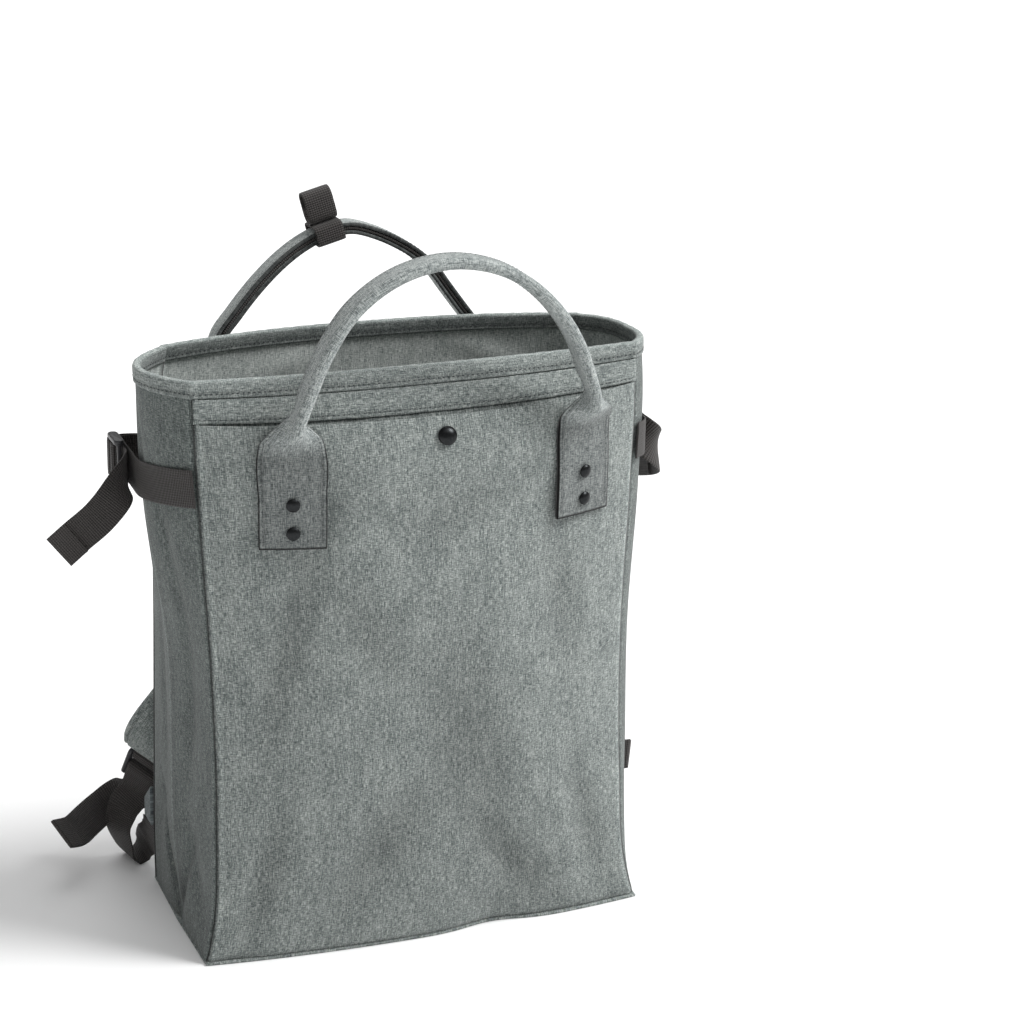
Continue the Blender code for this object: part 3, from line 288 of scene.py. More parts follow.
def grid_mesh(name, points, uv, closed=False, flip=False, caps=False, painted_light=None):
    """Quads between neighbouring rows and columns, uv in metres; closed joins last column to first.

    The last argument is a tone of painted light for each point: below 0 painted shade, as in
    seams, above 0 painted highlight, as on rolled edges.
    """
    rows, columns = points.shape[:2]
    steps = columns if closed else columns - 1
    r, c = np.meshgrid(np.arange(rows - 1), np.arange(steps), indexing="ij")
    near, far, n = r * columns, (r + 1) * columns, (c + 1) % columns
    quads = np.stack([near + c, near + n, far + n, far + c], -1)
    uv_quads = np.stack([uv[r, c], uv[r, c + 1], uv[r + 1, c + 1], uv[r + 1, c]], 2)
    if flip:
        quads, uv_quads = quads[..., ::-1], uv_quads[:, :, ::-1]
    faces, uv_flat = quads.reshape(-1, 4).tolist(), uv_quads.reshape(-1, 2)
    if caps:
        first, last = list(range(columns)), list(range((rows - 1) * columns, rows * columns))
        faces += [first, last[::-1]] if flip else [first[::-1], last]
        uv_flat = np.concatenate([uv_flat, uv[0, :columns], uv[-1, :columns]])
    mesh = bpy.data.meshes.new(name)
    mesh.from_pydata(points.reshape(-1, 3).tolist(), [], faces)
    layer = mesh.uv_layers.new(name="cloth")
    layer.data.foreach_set("uv", uv_flat.astype(np.float32).ravel())
    if painted_light is not None:
        tones = np.broadcast_to(painted_light, (rows, columns)).astype(np.float32)
        mesh.attributes.new("painted_light", "FLOAT", "POINT").data.foreach_set("value", tones.ravel())
    mesh.shade_smooth()
    return mesh


def dress(mesh, material, slot, *nodes, thickness=0.0, offset=-1.0, inner=None):
    """Object from a mesh with its material; it replaces its CAD nodes and rides on the root body.

    inner is the material of the face that the thickness adds, on the cloth's other side.
    """
    mesh.materials.append(material)
    if inner:
        mesh.materials.append(inner)
    piece = bpy.data.objects.new(mesh.name, mesh)
    bpy.context.scene.collection.objects.link(piece)
    if thickness:
        solid = piece.modifiers.new("thickness", "SOLIDIFY")
        solid.thickness, solid.offset, solid.use_even_offset = thickness, offset, True
        solid.material_offset = 1 if inner else 0
    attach(piece, "root")
    if nodes:
        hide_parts(*nodes)
    return piece


def woven_melange(name, dark, middle, light):
    """Woven polyester melange: light and dark yarns crossing, so short upright and level streaks.

    Real yarns are 0.35 mm apart, too fine to show here, so the streaks are 0.5 mm wide.
    The eye gets a matt, slightly hairy cloth with soft cloudy patches where yarn tones gather.
    """
    material, tree, shader = new_material(
        name, {"Specular IOR Level": 0.22, "Sheen Weight": 0.18, "Sheen Roughness": 0.5})
    uv = add_node(tree, "ShaderNodeUVMap", uv_map="cloth").outputs["UV"]

    def streaks(across, up, detail):
        """Noise drawn out to this size across and up the cloth, in metres."""
        scale = (1 / across, 1 / up, 1.0)
        sized = add_node(tree, "ShaderNodeMapping", {"Vector": uv, "Scale": scale})
        noise = add_node(tree, "ShaderNodeTexNoise", {
            "Vector": sized.outputs["Vector"], "Scale": 1.0, "Detail": detail, "Roughness": 0.8})
        return noise.outputs["Fac"]

    mixed = streaks(0.0005, 0.0044, 2.0)
    weft, slub = streaks(0.0038, 0.0005, 2.0), streaks(0.0012, 0.0300, 1.0)
    cloud = streaks(0.0220, 0.0340, 2.0)
    for share, layer in ((0.50, weft), (0.12, slub), (0.09, cloud)):
        mix = add_node(tree, "ShaderNodeMix", {"Factor": share, "A": mixed, "B": layer})
        mixed = mix.outputs["Result"]
    ramp, half_span = two_tones(tree, mixed, dark, light), 0.090
    for element, place in zip(ramp.color_ramp.elements, (0.5 - half_span, 0.5 + half_span)):
        element.position = place
    ramp.color_ramp.elements.new(0.5).color = to_linear(middle)
    # A point attribute scales the colour by one plus its tone: painted shade below 0, painted
    # highlight above 0
    painted_light = add_node(tree, "ShaderNodeAttribute", attribute_name="painted_light", attribute_type="GEOMETRY")
    level = add_node(tree, "ShaderNodeMath", {0: painted_light.outputs["Fac"], 1: 1.0}, operation="ADD")
    toned = add_node(tree, "ShaderNodeVectorMath",
                     {0: ramp.outputs["Color"], "Scale": level.outputs[0]}, operation="SCALE")
    tree.links.new(toned.outputs["Vector"], shader.inputs["Base Color"])
    relief = add_node(tree, "ShaderNodeBump", {"Height": mixed, "Strength": 0.6, "Distance": 0.001})
    tree.links.new(relief.outputs["Normal"], shader.inputs["Normal"])
    worn = add_node(tree, "ShaderNodeMapRange", {"Value": cloud, "To Min": 0.80, "To Max": 0.96})
    tree.links.new(worn.outputs["Result"], shader.inputs["Roughness"])
    return material


melange_grey = woven_melange("woven_polyester_melange", "#444b4b", "#787f7d", "#b2b7b3")
# The gussets get a darker copy of the walls' melange, as painted shade
shaded_melange = woven_melange("woven_polyester_melange_painted_shade", "#2f3434", "#575e5c", "#8a908d")

# The inner face gets a paler copy of the melange, as painted light that brightens the inside of the
# bag
lit_inner_melange = woven_melange("woven_polyester_melange_inner_painted_light", "#737b7a", "#b1b7b4", "#e0e4e0")

# Folds pressed into the cloth: place, half length, half width, degrees from upright, depth
Fold = namedtuple("Fold", "x z length width turn depth")


def fold_depth(folds, x, z):
    """Sum of folds: each is its depth times a bell along its length and one across its width."""
    total = np.zeros(np.broadcast(x, z).shape)
    for fold in map(Fold._make, folds):
        turn = math.radians(fold.turn)
        dx, dz = x - fold.x, z - fold.z
        along = dz * math.cos(turn) + dx * math.sin(turn)
        across = dx * math.cos(turn) - dz * math.sin(turn)
        total = total + fold.depth * bell(along, fold.length) * bell(across, fold.width)
    return total


# Painted light and shade over a wall: painted shade in the seam, a painted highlight on its roll,
# painted shade in the folds, a painted highlight up the left crease with painted shade beside it,
# and painted shade towards the bottom
SEAM_SHADE, SEAM_SHADE_WIDTH = -0.92, 0.0013
SEAM_HIGHLIGHT, SEAM_HIGHLIGHT_PLACE, SEAM_HIGHLIGHT_WIDTH = 0.26, 0.0032, 0.0012
SEAM_STEPS = np.array([0.0, 0.0005, 0.0010, 0.0016, 0.0024, 0.0036])
FIRST_OFF_SEAM = 0.0055
FOLD_SHADE = -0.15 / 0.0025
CREASE_HIGHLIGHT, CREASE_HIGHLIGHT_WIDTH, CREASE_FADE = 0.50, 0.0014, 0.040
CREASE_SHADE, CREASE_SHADE_PLACE, CREASE_SHADE_WIDTH = -0.14, -0.0060, 0.0040
BOTTOM_SHADE, BOTTOM_SHADE_RISE = -0.10, 0.110


def edge_roll(distance, depth=0.0017, reach=0.0019):
    """How far a sewn edge dips into its seam."""
    return depth * bell(distance, reach)


def melange_wall(name, place_of, half, rows, flip, folds, crease_top=0.0, count=110, rolled=True):
    """One wall of the bag as a cloth surface with folds, and edges rolled into the seams.

    Its columns stand close together near both seams. A seam has painted shade in its own line, with
    a painted highlight on the roll beside it. Below crease_top a painted highlight runs up the
    middle, with painted shade on one side. The folds and the bottom get painted shade as well.
    """
    inner = np.linspace(-half + FIRST_OFF_SEAM, half - FIRST_OFF_SEAM, count)
    x, z = np.meshgrid(np.concatenate([SEAM_STEPS - half, inner, half - SEAM_STEPS[::-1]]), rows)
    folded, from_seam = fold_depth(folds, x, z), half - np.abs(x)
    points = place_of(x / half, z, folded + edge_roll(from_seam) if rolled else folded)
    crease = (CREASE_HIGHLIGHT * bell(x, CREASE_HIGHLIGHT_WIDTH)
              + CREASE_SHADE * bell(x - CREASE_SHADE_PLACE, CREASE_SHADE_WIDTH))
    # Painted highlight on the seam roll and the crease; painted shade in the seam, the folds, beside
    # the crease and towards the bottom
    painted_light = (SEAM_HIGHLIGHT * bell(from_seam - SEAM_HIGHLIGHT_PLACE, SEAM_HIGHLIGHT_WIDTH)
            + SEAM_SHADE * bell(from_seam, SEAM_SHADE_WIDTH) + FOLD_SHADE * folded
            + crease * np.clip((crease_top - z) / CREASE_FADE, 0.0, 1.0)
            + BOTTOM_SHADE * np.exp(-z / BOTTOM_SHADE_RISE))
    return grid_mesh(name, points, np.stack([x, z], -1), flip=flip, painted_light=painted_light)


FRONT_FOLDS = [
    (-0.085, 0.300, 0.060, 0.016, 20.0, 0.0022), (-0.112, 0.215, 0.070, 0.014, 14.0, 0.0034),
    (-0.060, 0.235, 0.040, 0.018, -30.0, 0.0030), (0.020, 0.150, 0.080, 0.034, -18.0, 0.0044),
    (0.095, 0.235, 0.060, 0.018, -10.0, 0.0030), (-0.045, 0.075, 0.050, 0.020, 35.0, 0.0040),
    (0.060, 0.050, 0.045, 0.016, -40.0, 0.0040), (0.122, 0.070, 0.050, 0.012, -14.0, 0.0032),
    (-0.125, 0.060, 0.050, 0.011, 12.0, 0.0034), (0.000, 0.305, 0.035, 0.016, 70.0, 0.0022),
]
BACK_FOLDS = [
    (-0.060, 0.372, 0.030, 0.010, 75.0, 0.0024), (0.040, 0.352, 0.050, 0.009, 82.0, 0.0024),
    (-0.090, 0.345, 0.040, 0.008, 65.0, 0.0020), (0.100, 0.368, 0.026, 0.008, -70.0, 0.0024),
    (0.000, 0.318, 0.080, 0.012, 86.0, 0.0026), (0.080, 0.300, 0.050, 0.010, -65.0, 0.0022),
    (-0.020, 0.200, 0.090, 0.030, 10.0, 0.0022), (0.090, 0.150, 0.080, 0.022, -14.0, 0.0020),
    (-0.100, 0.120, 0.070, 0.018, 16.0, 0.0020), (0.030, 0.060, 0.040, 0.022, 60.0, 0.0018),
]
wall_rows = np.concatenate([np.linspace(WALL_BOTTOM, 0.010, 6), np.linspace(0.0125, 0.396, 150),
                            [PANEL_TOP]])
front_wall = melange_wall("front_wall", lambda u, z, d: front_place(u * INNER_U, z, LAYER + d),
                          HALF * INNER_U, wall_rows, False, FRONT_FOLDS, count=80, rolled=False)
dress(front_wall, melange_grey, "heather_polyester", "front_panel", thickness=CLOTH)
back_wall = melange_wall("back_wall", back_place, HALF, wall_rows, True, BACK_FOLDS)
dress(back_wall, melange_grey, "heather_polyester", "back_panel", thickness=CLOTH,
      inner=lit_inner_melange)

LEFT_FOLDS = [
    (0.004, 0.348, 0.026, 0.010, 15.0, 0.0026), (-0.030, 0.285, 0.050, 0.008, 8.0, 0.0024),
    (0.018, 0.265, 0.060, 0.009, -6.0, 0.0026), (-0.034, 0.170, 0.060, 0.010, -5.0, 0.0024),
    (0.026, 0.150, 0.060, 0.010, 6.0, 0.0022), (0.000, 0.030, 0.030, 0.016, 0.0, 0.0032),
    (-0.036, 0.060, 0.040, 0.010, 22.0, 0.0020), (0.040, 0.070, 0.040, 0.010, -18.0, 0.0020),
    (-0.016, 0.038, 0.036, 0.005, -26.0, 0.0030), (0.017, 0.046, 0.042, 0.005, 24.0, 0.0030),
]
RIGHT_FOLDS = [
    (0.000, 0.350, 0.030, 0.012, -12.0, 0.0024), (-0.030, 0.270, 0.050, 0.010, -8.0, 0.0020),
    (0.025, 0.240, 0.070, 0.012, 8.0, 0.0022), (-0.010, 0.150, 0.070, 0.014, -4.0, 0.0022),
    (0.020, 0.050, 0.040, 0.012, 16.0, 0.0024), (-0.035, 0.050, 0.040, 0.010, -16.0, 0.0020),
]
for side, name, folds, crease_top in ((-1, "left", LEFT_FOLDS, 0.300),
                                      (1, "right", RIGHT_FOLDS, 0.0)):
    gusset = melange_wall(
        "gusset_wall_" + name, lambda t, z, d, side=side: gusset_place(side, t, z, d, SEAM_TRIM),
        GUSSET_HALF, wall_rows, side < 0, folds, crease_top=crease_top, count=90)
    dress(gusset, shaded_melange, "heather_polyester_shade", "gusset_" + name, thickness=CLOTH,
          inner=lit_inner_melange)


# ---- Base: a stiffened oblong of the same cloth, sewn all round to the four walls.
# It lies flat on the floor, so only its edge shows.
EDGE_EASE, EASED_SHARE = 0.0005, 0.985
u, t = np.linspace(-1, 1, 60), np.linspace(-1, 1, 30)[1:-1]
outline = np.concatenate([front_place(u, 0.0), gusset_place(1, t, 0.0),
                          back_place(u[::-1], 0.0), gusset_place(-1, t[::-1], 0.0)])
centre = outline.mean(axis=0)
levels = [(EASED_SHARE, 0.0), (1.0, EDGE_EASE), (1.0, BASE_THICKNESS - EDGE_EASE),
          (EASED_SHARE, BASE_THICKNESS)]
rings = np.array([centre + (outline - centre) * share + np.array([0.0, 0.0, z])
                  for share, z in levels])
base_board = grid_mesh("base_board", rings, np.concatenate([rings, rings[:, :1]], axis=1)[..., :2],
                       closed=True, caps=True)
dress(base_board, melange_grey, "heather_polyester_shade", "base_panel")


# ---- Front pocket: a second layer over the whole front, open along its top under the band.
# It is sewn into both side seams and the base seam, and its mouth gapes a little.
HEM_DROP, HEM_RELIEF, HEM_WIDTH = 0.0100, 0.0004, 0.0012
pocket_rows = np.concatenate([np.linspace(WALL_BOTTOM, 0.010, 8), np.linspace(0.0125, 0.366, 160),
                              BAND_BOTTOM - GAP - np.array([0.0050, 0.0030, 0.0018, 0.0009, 0.0])])


def pocket_skin(u, z, depth):
    """Pocket face with its folds, its bottom edge turned in, and a flat hem below the mouth."""
    hem = HEM_RELIEF * bell(BAND_BOTTOM - z - HEM_DROP, HEM_WIDTH)
    bottom = edge_roll(z - WALL_BOTTOM, 0.0016, 0.0030)
    return pocket_place(u * OUTER_U, z, np.maximum(depth, 0.0) + hem + bottom)


pocket = melange_wall("pocket_front", pocket_skin, HALF * OUTER_U, pocket_rows, False, FRONT_FOLDS,
                      count=130)
dress(pocket, melange_grey, "heather_polyester", "front_pocket", thickness=CLOTH)


# ---- Bands under the rim, front and back: a strip of the same cloth cut across the grain, so its
# streaks run level. Its bottom edge is folded under and topstitched.
BAND_STITCH, STITCH_DIP, STITCH_DIP_WIDTH = 0.0026, 0.0003, 0.0006
# Painted highlight along the folded bottom edge and painted shade in the stitch dip
BAND_EDGE_HIGHLIGHT, BAND_EDGE_HIGHLIGHT_PLACE, BAND_EDGE_HIGHLIGHT_WIDTH, DIP_SHADE = 0.12, 0.0010, 0.0009, -0.25
RIPPLE, RIPPLE_PITCH, RIPPLE_SWELL = 0.0002, 0.023, 0.071
FRONT_BAND_SEAT, BACK_BAND_SEAT = LAYER - 3 * GAP - BAND_CLOTH, -GAP - BAND_CLOTH


def band_strip(name, place_of, seat, flip, node):
    """Strip between the binding and the band line, with its streaks turned to run along it."""
    rows = np.concatenate([BAND_BOTTOM + np.array([0.0, 0.0004, 0.0009, 0.0016, 0.0026, 0.0032]),
                           np.linspace(BAND_BOTTOM + 0.0045, BINDING_BOTTOM - GAP, 8)])
    x, z = np.meshgrid(np.linspace(-HALF * OUTER_U, HALF * OUTER_U, 160), rows)
    up = z - BAND_BOTTOM
    dip = bell(up - BAND_STITCH, STITCH_DIP_WIDTH)
    ripple = RIPPLE * np.sin(x * 2 * np.pi / RIPPLE_PITCH) * np.sin(x * 2 * np.pi / RIPPLE_SWELL)
    depth = seat + edge_roll(up, 0.0007, 0.0009) + STITCH_DIP * dip + ripple
    # Painted highlight on the folded edge, painted shade in the stitch dip
    painted_light = BAND_EDGE_HIGHLIGHT * bell(up - BAND_EDGE_HIGHLIGHT_PLACE, BAND_EDGE_HIGHLIGHT_WIDTH) + DIP_SHADE * dip
    points = place_of(x / HALF, z, depth)
    strip = grid_mesh(name, points, np.stack([z, x], -1), flip=flip, painted_light=painted_light)
    dress(strip, melange_grey, "heather_polyester", node, thickness=BAND_CLOTH)


band_strip("band_front", front_place, FRONT_BAND_SEAT, False, "front_band")
band_strip("band_back", back_place, BACK_BAND_SEAT, True, "back_band")


# ---- Rim binding: a strip folded over the raw edges of all four walls and stitched through.
# The thread pulls small puckers into it all the way round.
def along_of(points):
    """Distance along a run of places, from its start."""
    return np.concatenate([[0.0], np.cumsum(np.linalg.norm(np.diff(points, axis=0), axis=1))])


def rows_at(at, along, rows):
    """Rows at given distances along a run, straight between its own places."""
    return np.stack([np.interp(at, along, column) for column in rows.T], -1)


def closed_run(rows):
    """Rows of a loop with the first one repeated at the end."""
    return np.vstack([rows, rows[:1]])


def rim_loop(z, count=600):
    """Outer faces of the walls at one height, anticlockwise, evenly spaced along the loop."""
    u, t = np.linspace(-1, 1, 60), np.linspace(-1, 1, 40)
    loop = np.concatenate([
        front_place(u * INNER_U, z, LAYER), gusset_place(1, t, z, 0.0, SEAM_TRIM),
        back_place(u[::-1], z), gusset_place(-1, t[::-1], z, 0.0, SEAM_TRIM)])
    loop = loop[np.linalg.norm(np.diff(closed_run(loop), axis=0), axis=1) > 1e-6]
    ring = closed_run(loop)
    along = along_of(ring)
    at = np.linspace(0.0, along[-1], count, endpoint=False)
    return rows_at(at, along, ring), at


def offset_plan(loop, distance):
    """Loop moved outward in plan along the normal of its smoothed tangent."""
    tangent = unit(np.roll(loop, -2, axis=0) - np.roll(loop, 2, axis=0))
    outward = np.stack([tangent[:, 1], -tangent[:, 0], np.zeros(len(loop))], axis=1)
    return loop + outward * np.asarray(distance)[..., None]


low, along = rim_loop(BINDING_BOTTOM)
high, _ = rim_loop(PANEL_TOP)
OUTSIDE, INSIDE = 2 * GAP + BINDING_LEG / 2, -(CLOTH + 4 * GAP + BINDING_LEG / 2)
STITCH_DROP, BINDING_DIP, BINDING_DIP_WIDTH, BINDING_TUCK = 0.0082, 0.00035, 0.0016, 0.0004
PUCKER_PITCH, PUCKER_SWELL, PUCKER_DEPTH, PUCKER_RISE = 0.0115, 0.090, 0.00010, 0.00008
# Painted light on the binding: a painted highlight along its crest, painted shade on its inner leg
# and in the stitch dip
RIM_ROUND, CREST_HIGHLIGHT, CREST_HIGHLIGHT_WIDTH, INSIDE_SHADE, BINDING_DIP_SHADE = 0.0011, 0.50, 0.0013, -0.12, -0.30
PROFILE_STEP = 0.0016
pucker = np.sin(along * 2 * np.pi / PUCKER_PITCH + 2 * np.sin(along * 2 * np.pi / PUCKER_SWELL))
leg = np.linspace(0.0, 1.0, 9)
leg_z = BINDING_BOTTOM + leg * (PANEL_TOP - BINDING_BOTTOM)
middle, half = (OUTSIDE + INSIDE) / 2, (OUTSIDE - INSIDE) / 2

# Profile of the strip: share of the rim's height, distance out from the walls, height
profile = [*zip(leg, OUTSIDE - BINDING_TUCK * (1 - leg) ** 2, leg_z)]
profile += [(1.0, middle + half * math.cos(turn), PANEL_TOP + RIM_ROUND * math.sin(turn))
            for turn in np.linspace(0.0, math.pi, 9)[1:-1]]
profile += [(share, INSIDE, z) for share, z in zip(leg[::-1], leg_z[::-1])]
rows, uv_rows, painted_light_rows = [], [], []
for index, (share, distance, z) in enumerate(profile):
    dip = bell(BAG_HEIGHT - STITCH_DROP - z, BINDING_DIP_WIDTH)
    outward = 1.0 if distance > middle else -1.0
    relief = PUCKER_DEPTH * pucker * (1 - share * 0.4) - BINDING_DIP * dip
    placed = offset_plan(low * (1 - share) + high * share, distance + outward * relief)
    placed[:, 2] = z + PUCKER_RISE * pucker * share
    rows.append(placed)
    uv_along = np.append(along, along[-1] + along[1])
    uv_rows.append(np.stack([np.full(len(uv_along), index * PROFILE_STEP), uv_along], -1))
    # Painted highlight on the crest, painted shade in the stitch dip and on the inner leg
    tone = CREST_HIGHLIGHT * bell(z - BAG_HEIGHT, CREST_HIGHLIGHT_WIDTH) + BINDING_DIP_SHADE * dip
    painted_light_rows.append(np.full(len(along), tone + (INSIDE_SHADE if outward < 0 else 0.0)))
binding = grid_mesh("rim_strip", np.array(rows), np.array(uv_rows), closed=True,
                    painted_light=np.array(painted_light_rows))
dress(binding, melange_grey, "heather_polyester", "rim_binding", thickness=BINDING_LEG, offset=0.0)


# ---- Handles: a cloth strip with flat feet sewn on the panels; above the neck it is folded in two
# round a band of dark webbing, its open edges towards the wearer's side.
HANDLE_SPAN, FRONT_HANDLE_RISE, BACK_HANDLE_RISE = 0.2028, 0.1020, 0.0910
FRONT_SHIFT, BACK_SHIFT = 0.0030, -0.0040
FOOT_WIDTH, FOOT_BOTTOM_DROP, FOOT_STRAIGHT, NECK_DROP = 0.0420, 0.1060, 0.0630, 0.0220
GRIP_RIBBON, FOLD_RADIUS, HANDLE_CLOTH = 0.0370, 0.0028, 0.0024
CORE_WIDTH, CORE_THICKNESS, GRIP_OFF_BAND, GRIP_BELOW_NECK = 0.0130, 0.0020, 0.0010, 0.05
FOOT_BOTTOM = BAG_HEIGHT - FOOT_BOTTOM_DROP
FOOT_TOP, NECK_Z = FOOT_BOTTOM + FOOT_STRAIGHT, BAG_HEIGHT - NECK_DROP
FOOT_MIDDLE = (FOOT_BOTTOM + FOOT_TOP) / 2
GRIP_CLEARANCE = GRIP_OFF_BAND + HANDLE_CLOTH / 2
FOOT_SEAT, BACK_FOOT_SEAT = HANDLE_CLOTH / 2 + 4 * GAP, HANDLE_CLOTH / 2 + 2 * GAP
FRONT_GRIP = [
    (-0.985, 0.06), (-0.94, 0.17), (-0.81, 0.47), (-0.64, 0.72), (-0.38, 0.91), (-0.02, 1.00),
    (0.37, 0.92), (0.64, 0.73), (0.82, 0.50), (0.94, 0.22), (0.985, 0.06)]
BACK_GRIP = [
    (-1.01, 0.06), (-0.99, 0.19), (-0.84, 0.43), (-0.63, 0.69), (-0.38, 0.90), (-0.08, 1.00),
    (0.20, 0.90), (0.47, 0.70), (0.68, 0.40), (0.84, 0.17), (0.93, 0.05)]
GRIP_STATIONS, HANDLE_STATIONS = 17, 260
RIBBON = np.linspace(-1.0, 1.0, 33)

# Rows of a foot: height, share of its full width, fold in degrees, lean from the seat to the grip
NECK_RISE = NECK_Z - FOOT_TOP
FOOT_ROWS = [(FOOT_BOTTOM, 1.0, 0, 0.0), (FOOT_MIDDLE, 1.0, 0, 0.0), (FOOT_TOP, 1.0, 4, 0.0),
             (FOOT_TOP + 0.35 * NECK_RISE, 1.0, 24, 0.4),
             (FOOT_TOP + 0.70 * NECK_RISE, 0.94, 56, 0.9)]

# Painted light on a handle, as tone, distance in from its edge and width: a painted highlight inside
# its edge, a painted shadow along the edge, painted shade along the stitch line; then painted shade
# on the feet
HANDLE_LINES = [(0.10, 0.0014, 0.0006), (-0.80, 0.0, 0.0007), (-0.34, 0.0028, 0.0006)]
FEET_SHADE, FEET_REACH, FEET_FADE = -0.46, 0.080, 0.020


def folded_ribbon(width, fold):
    """Side and depth across a ribbon: an arc of FOLD_RADIUS turning by fold, then straight on."""
    distance = np.abs(RIBBON) * width / 2
    turn = np.minimum(distance / FOLD_RADIUS, fold)
    rest = distance - turn * FOLD_RADIUS
    side = FOLD_RADIUS * np.sin(turn) + rest * np.cos(fold)
    return np.sign(RIBBON) * side, FOLD_RADIUS * (1 - np.cos(turn)) + rest * np.sin(fold)


def foot_rows(x, outward, place_of, edge_y):
    """Rows of one foot from its bottom edge to the neck, as in the solid."""
    seat_of = FOOT_SEAT if outward < 0 else BACK_FOOT_SEAT
    rows = []
    for z, width, fold, lean in FOOT_ROWS:
        side, depth = folded_ribbon(width * FOOT_WIDTH, math.radians(fold))
        seat = surface_y(place_of, x + side, min(z, BAND_BOTTOM - GAP)) + outward * seat_of
        y = seat * (1 - lean) + edge_y * lean + outward * (depth.max() - depth)
        rows.append(np.stack([x + side, y, np.full(len(side), z)], -1))
    return rows


def grip_line(points, shift, rise):
    """Centre line of a grip: even places on the smooth curve through its route."""
    route = np.array([(shift + x * HANDLE_SPAN / 2, NECK_Z + (z - GRIP_BELOW_NECK) * rise)
                      for x, z in points])
    along = along_of(route)
    return smooth_rows(along, route, np.linspace(0.0, along[-1], GRIP_STATIONS))


# Lighter tones than the walls' melange, as painted light for the top-lit grip; the feet get painted
# shade back down
lit_handle_cloth = woven_melange("handle_polyester_melange_painted_light", "#525959", "#8e9493", "#c2c7c4")
side, depth = folded_ribbon(GRIP_RIBBON, math.pi / 2)
GRIP_DEPTH = depth.max()
handle_runs = {}
for name, grip, shift, rise, outward, place_of in (
        ("front", FRONT_GRIP, FRONT_SHIFT, FRONT_HANDLE_RISE, -1, pocket_place),
        ("back", BACK_GRIP, BACK_SHIFT, BACK_HANDLE_RISE, 1, back_place)):
    inner = (HANDLE_SPAN - FOOT_WIDTH) / 2
    inner_y = surface_y(place_of, np.array([-inner, inner]), BAND_BOTTOM - GAP)
    edge_y = outward * (max(outward * inner_y) + GRIP_CLEARANCE)
    route = grip_line(grip, shift, rise)
    grip_y = edge_y + outward * (GRIP_DEPTH - depth)
    grip_rows = [np.stack([x + side * way_z, grip_y, z - side * way_x], -1)
                 for (x, z), (way_x, way_z) in zip(route, unit(np.gradient(route, axis=0)))]
    left = foot_rows(shift - HANDLE_SPAN / 2, outward, place_of, edge_y)
    right = foot_rows(shift + HANDLE_SPAN / 2, outward, place_of, edge_y)
    cad_rows = np.array(left + grip_rows + [row[::-1] for row in right[::-1]])
    along = along_of(cad_rows[:, len(RIBBON) // 2])
    fine = np.linspace(0.0, along[-1], HANDLE_STATIONS)
    points = smooth_rows(along, cad_rows.reshape(len(cad_rows), -1), fine).reshape(len(fine), -1, 3)
    uv = np.stack(np.broadcast_arrays(RIBBON[None, :] * GRIP_RIBBON / 2, fine[:, None]), -1)
    edge = (1 - np.abs(RIBBON))[None, :] * GRIP_RIBBON / 2
    ends = np.minimum(fine, fine[-1] - fine)[:, None]
    inside = np.minimum(edge, ends)
    # Painted highlight inside the edge, painted shadow along it, painted shade on the stitch line
    # and on the feet
    painted_light = (sum(tone * bell(inside - place, width) for tone, place, width in HANDLE_LINES)
            + FEET_SHADE * np.clip((FEET_REACH - ends) / FEET_FADE, 0.0, 1.0))
    strip = grid_mesh("handle_strip_" + name, points, uv, flip=outward > 0, painted_light=painted_light)
    dress(strip, lit_handle_cloth, "heather_polyester", "handle_" + name, thickness=HANDLE_CLOTH,
          offset=0.0)
    handle_runs[name] = (route, edge_y, outward, points)


# ---- Webbing: flat charcoal polypropylene tape, woven with a raised rib across it every 1.5 mm,
# used as handle cores, keeper, side straps and the lower ends of the shoulder straps.
WEBBING_WIDTH, WEBBING = 0.0250, 0.0014
RIB_PITCH, YARN_PITCH, YARN_SHARE, TAPE_SQUARENESS = 0.0015, 0.0016, 0.45, 0.35
webbing_black, tree, shader = new_material(
    "ribbed_polypropylene_webbing",
    {"Roughness": 0.62, "Specular IOR Level": 0.35, "Sheen Weight": 0.10})
uv = add_node(tree, "ShaderNodeUVMap", uv_map="cloth").outputs["UV"]
axes = add_node(tree, "ShaderNodeSeparateXYZ", {"Vector": uv})
sized = add_node(tree, "ShaderNodeMapping", {"Vector": uv, "Scale": (1 / 0.0006, 1 / 0.0030, 1.0)})
fibres = add_node(tree, "ShaderNodeTexNoise",
                  {"Vector": sized.outputs["Vector"], "Scale": 1.0, "Detail": 2.0})

# Each rib gets a thin painted highlight, as its height also drives the colour ramp; finer waves
# across it are its yarns, and a noise its fibres
height = fibres.outputs["Fac"]
for axis, pitch, share in (("Y", RIB_PITCH, 1.0), ("X", YARN_PITCH, YARN_SHARE)):
    turns = add_node(tree, "ShaderNodeMath", {0: axes.outputs[axis], 1: 2 * math.pi / pitch},
                     operation="MULTIPLY")
    wave = add_node(tree, "ShaderNodeMath", {0: turns.outputs[0]}, operation="SINE")
    height = add_node(tree, "ShaderNodeMath", {0: wave.outputs[0], 1: share, 2: height},
                      operation="MULTIPLY_ADD").outputs[0]
# The height also sets the colour, so the tops of the ribs and yarns carry a painted highlight
tones = add_node(tree, "ShaderNodeMapRange", {"Value": height, "From Min": -0.9, "From Max": 1.9})
ramp = two_tones(tree, tones.outputs["Result"], "#131110", "#464240")
tree.links.new(ramp.outputs["Color"], shader.inputs["Base Color"])
relief = add_node(tree, "ShaderNodeBump", {"Height": height, "Strength": 0.6, "Distance": 0.0004})
tree.links.new(relief.outputs["Normal"], shader.inputs["Normal"])


def squared(across, ways):
    """Directions across a run, made square to its ways."""
    return unit(across - ways * np.sum(across * ways, axis=-1, keepdims=True))


def near_square(turn):
    """Sine or cosine to a small power with its sign kept, which makes an oval nearly flat."""
    return np.sign(turn) * np.abs(turn) ** TAPE_SQUARENESS


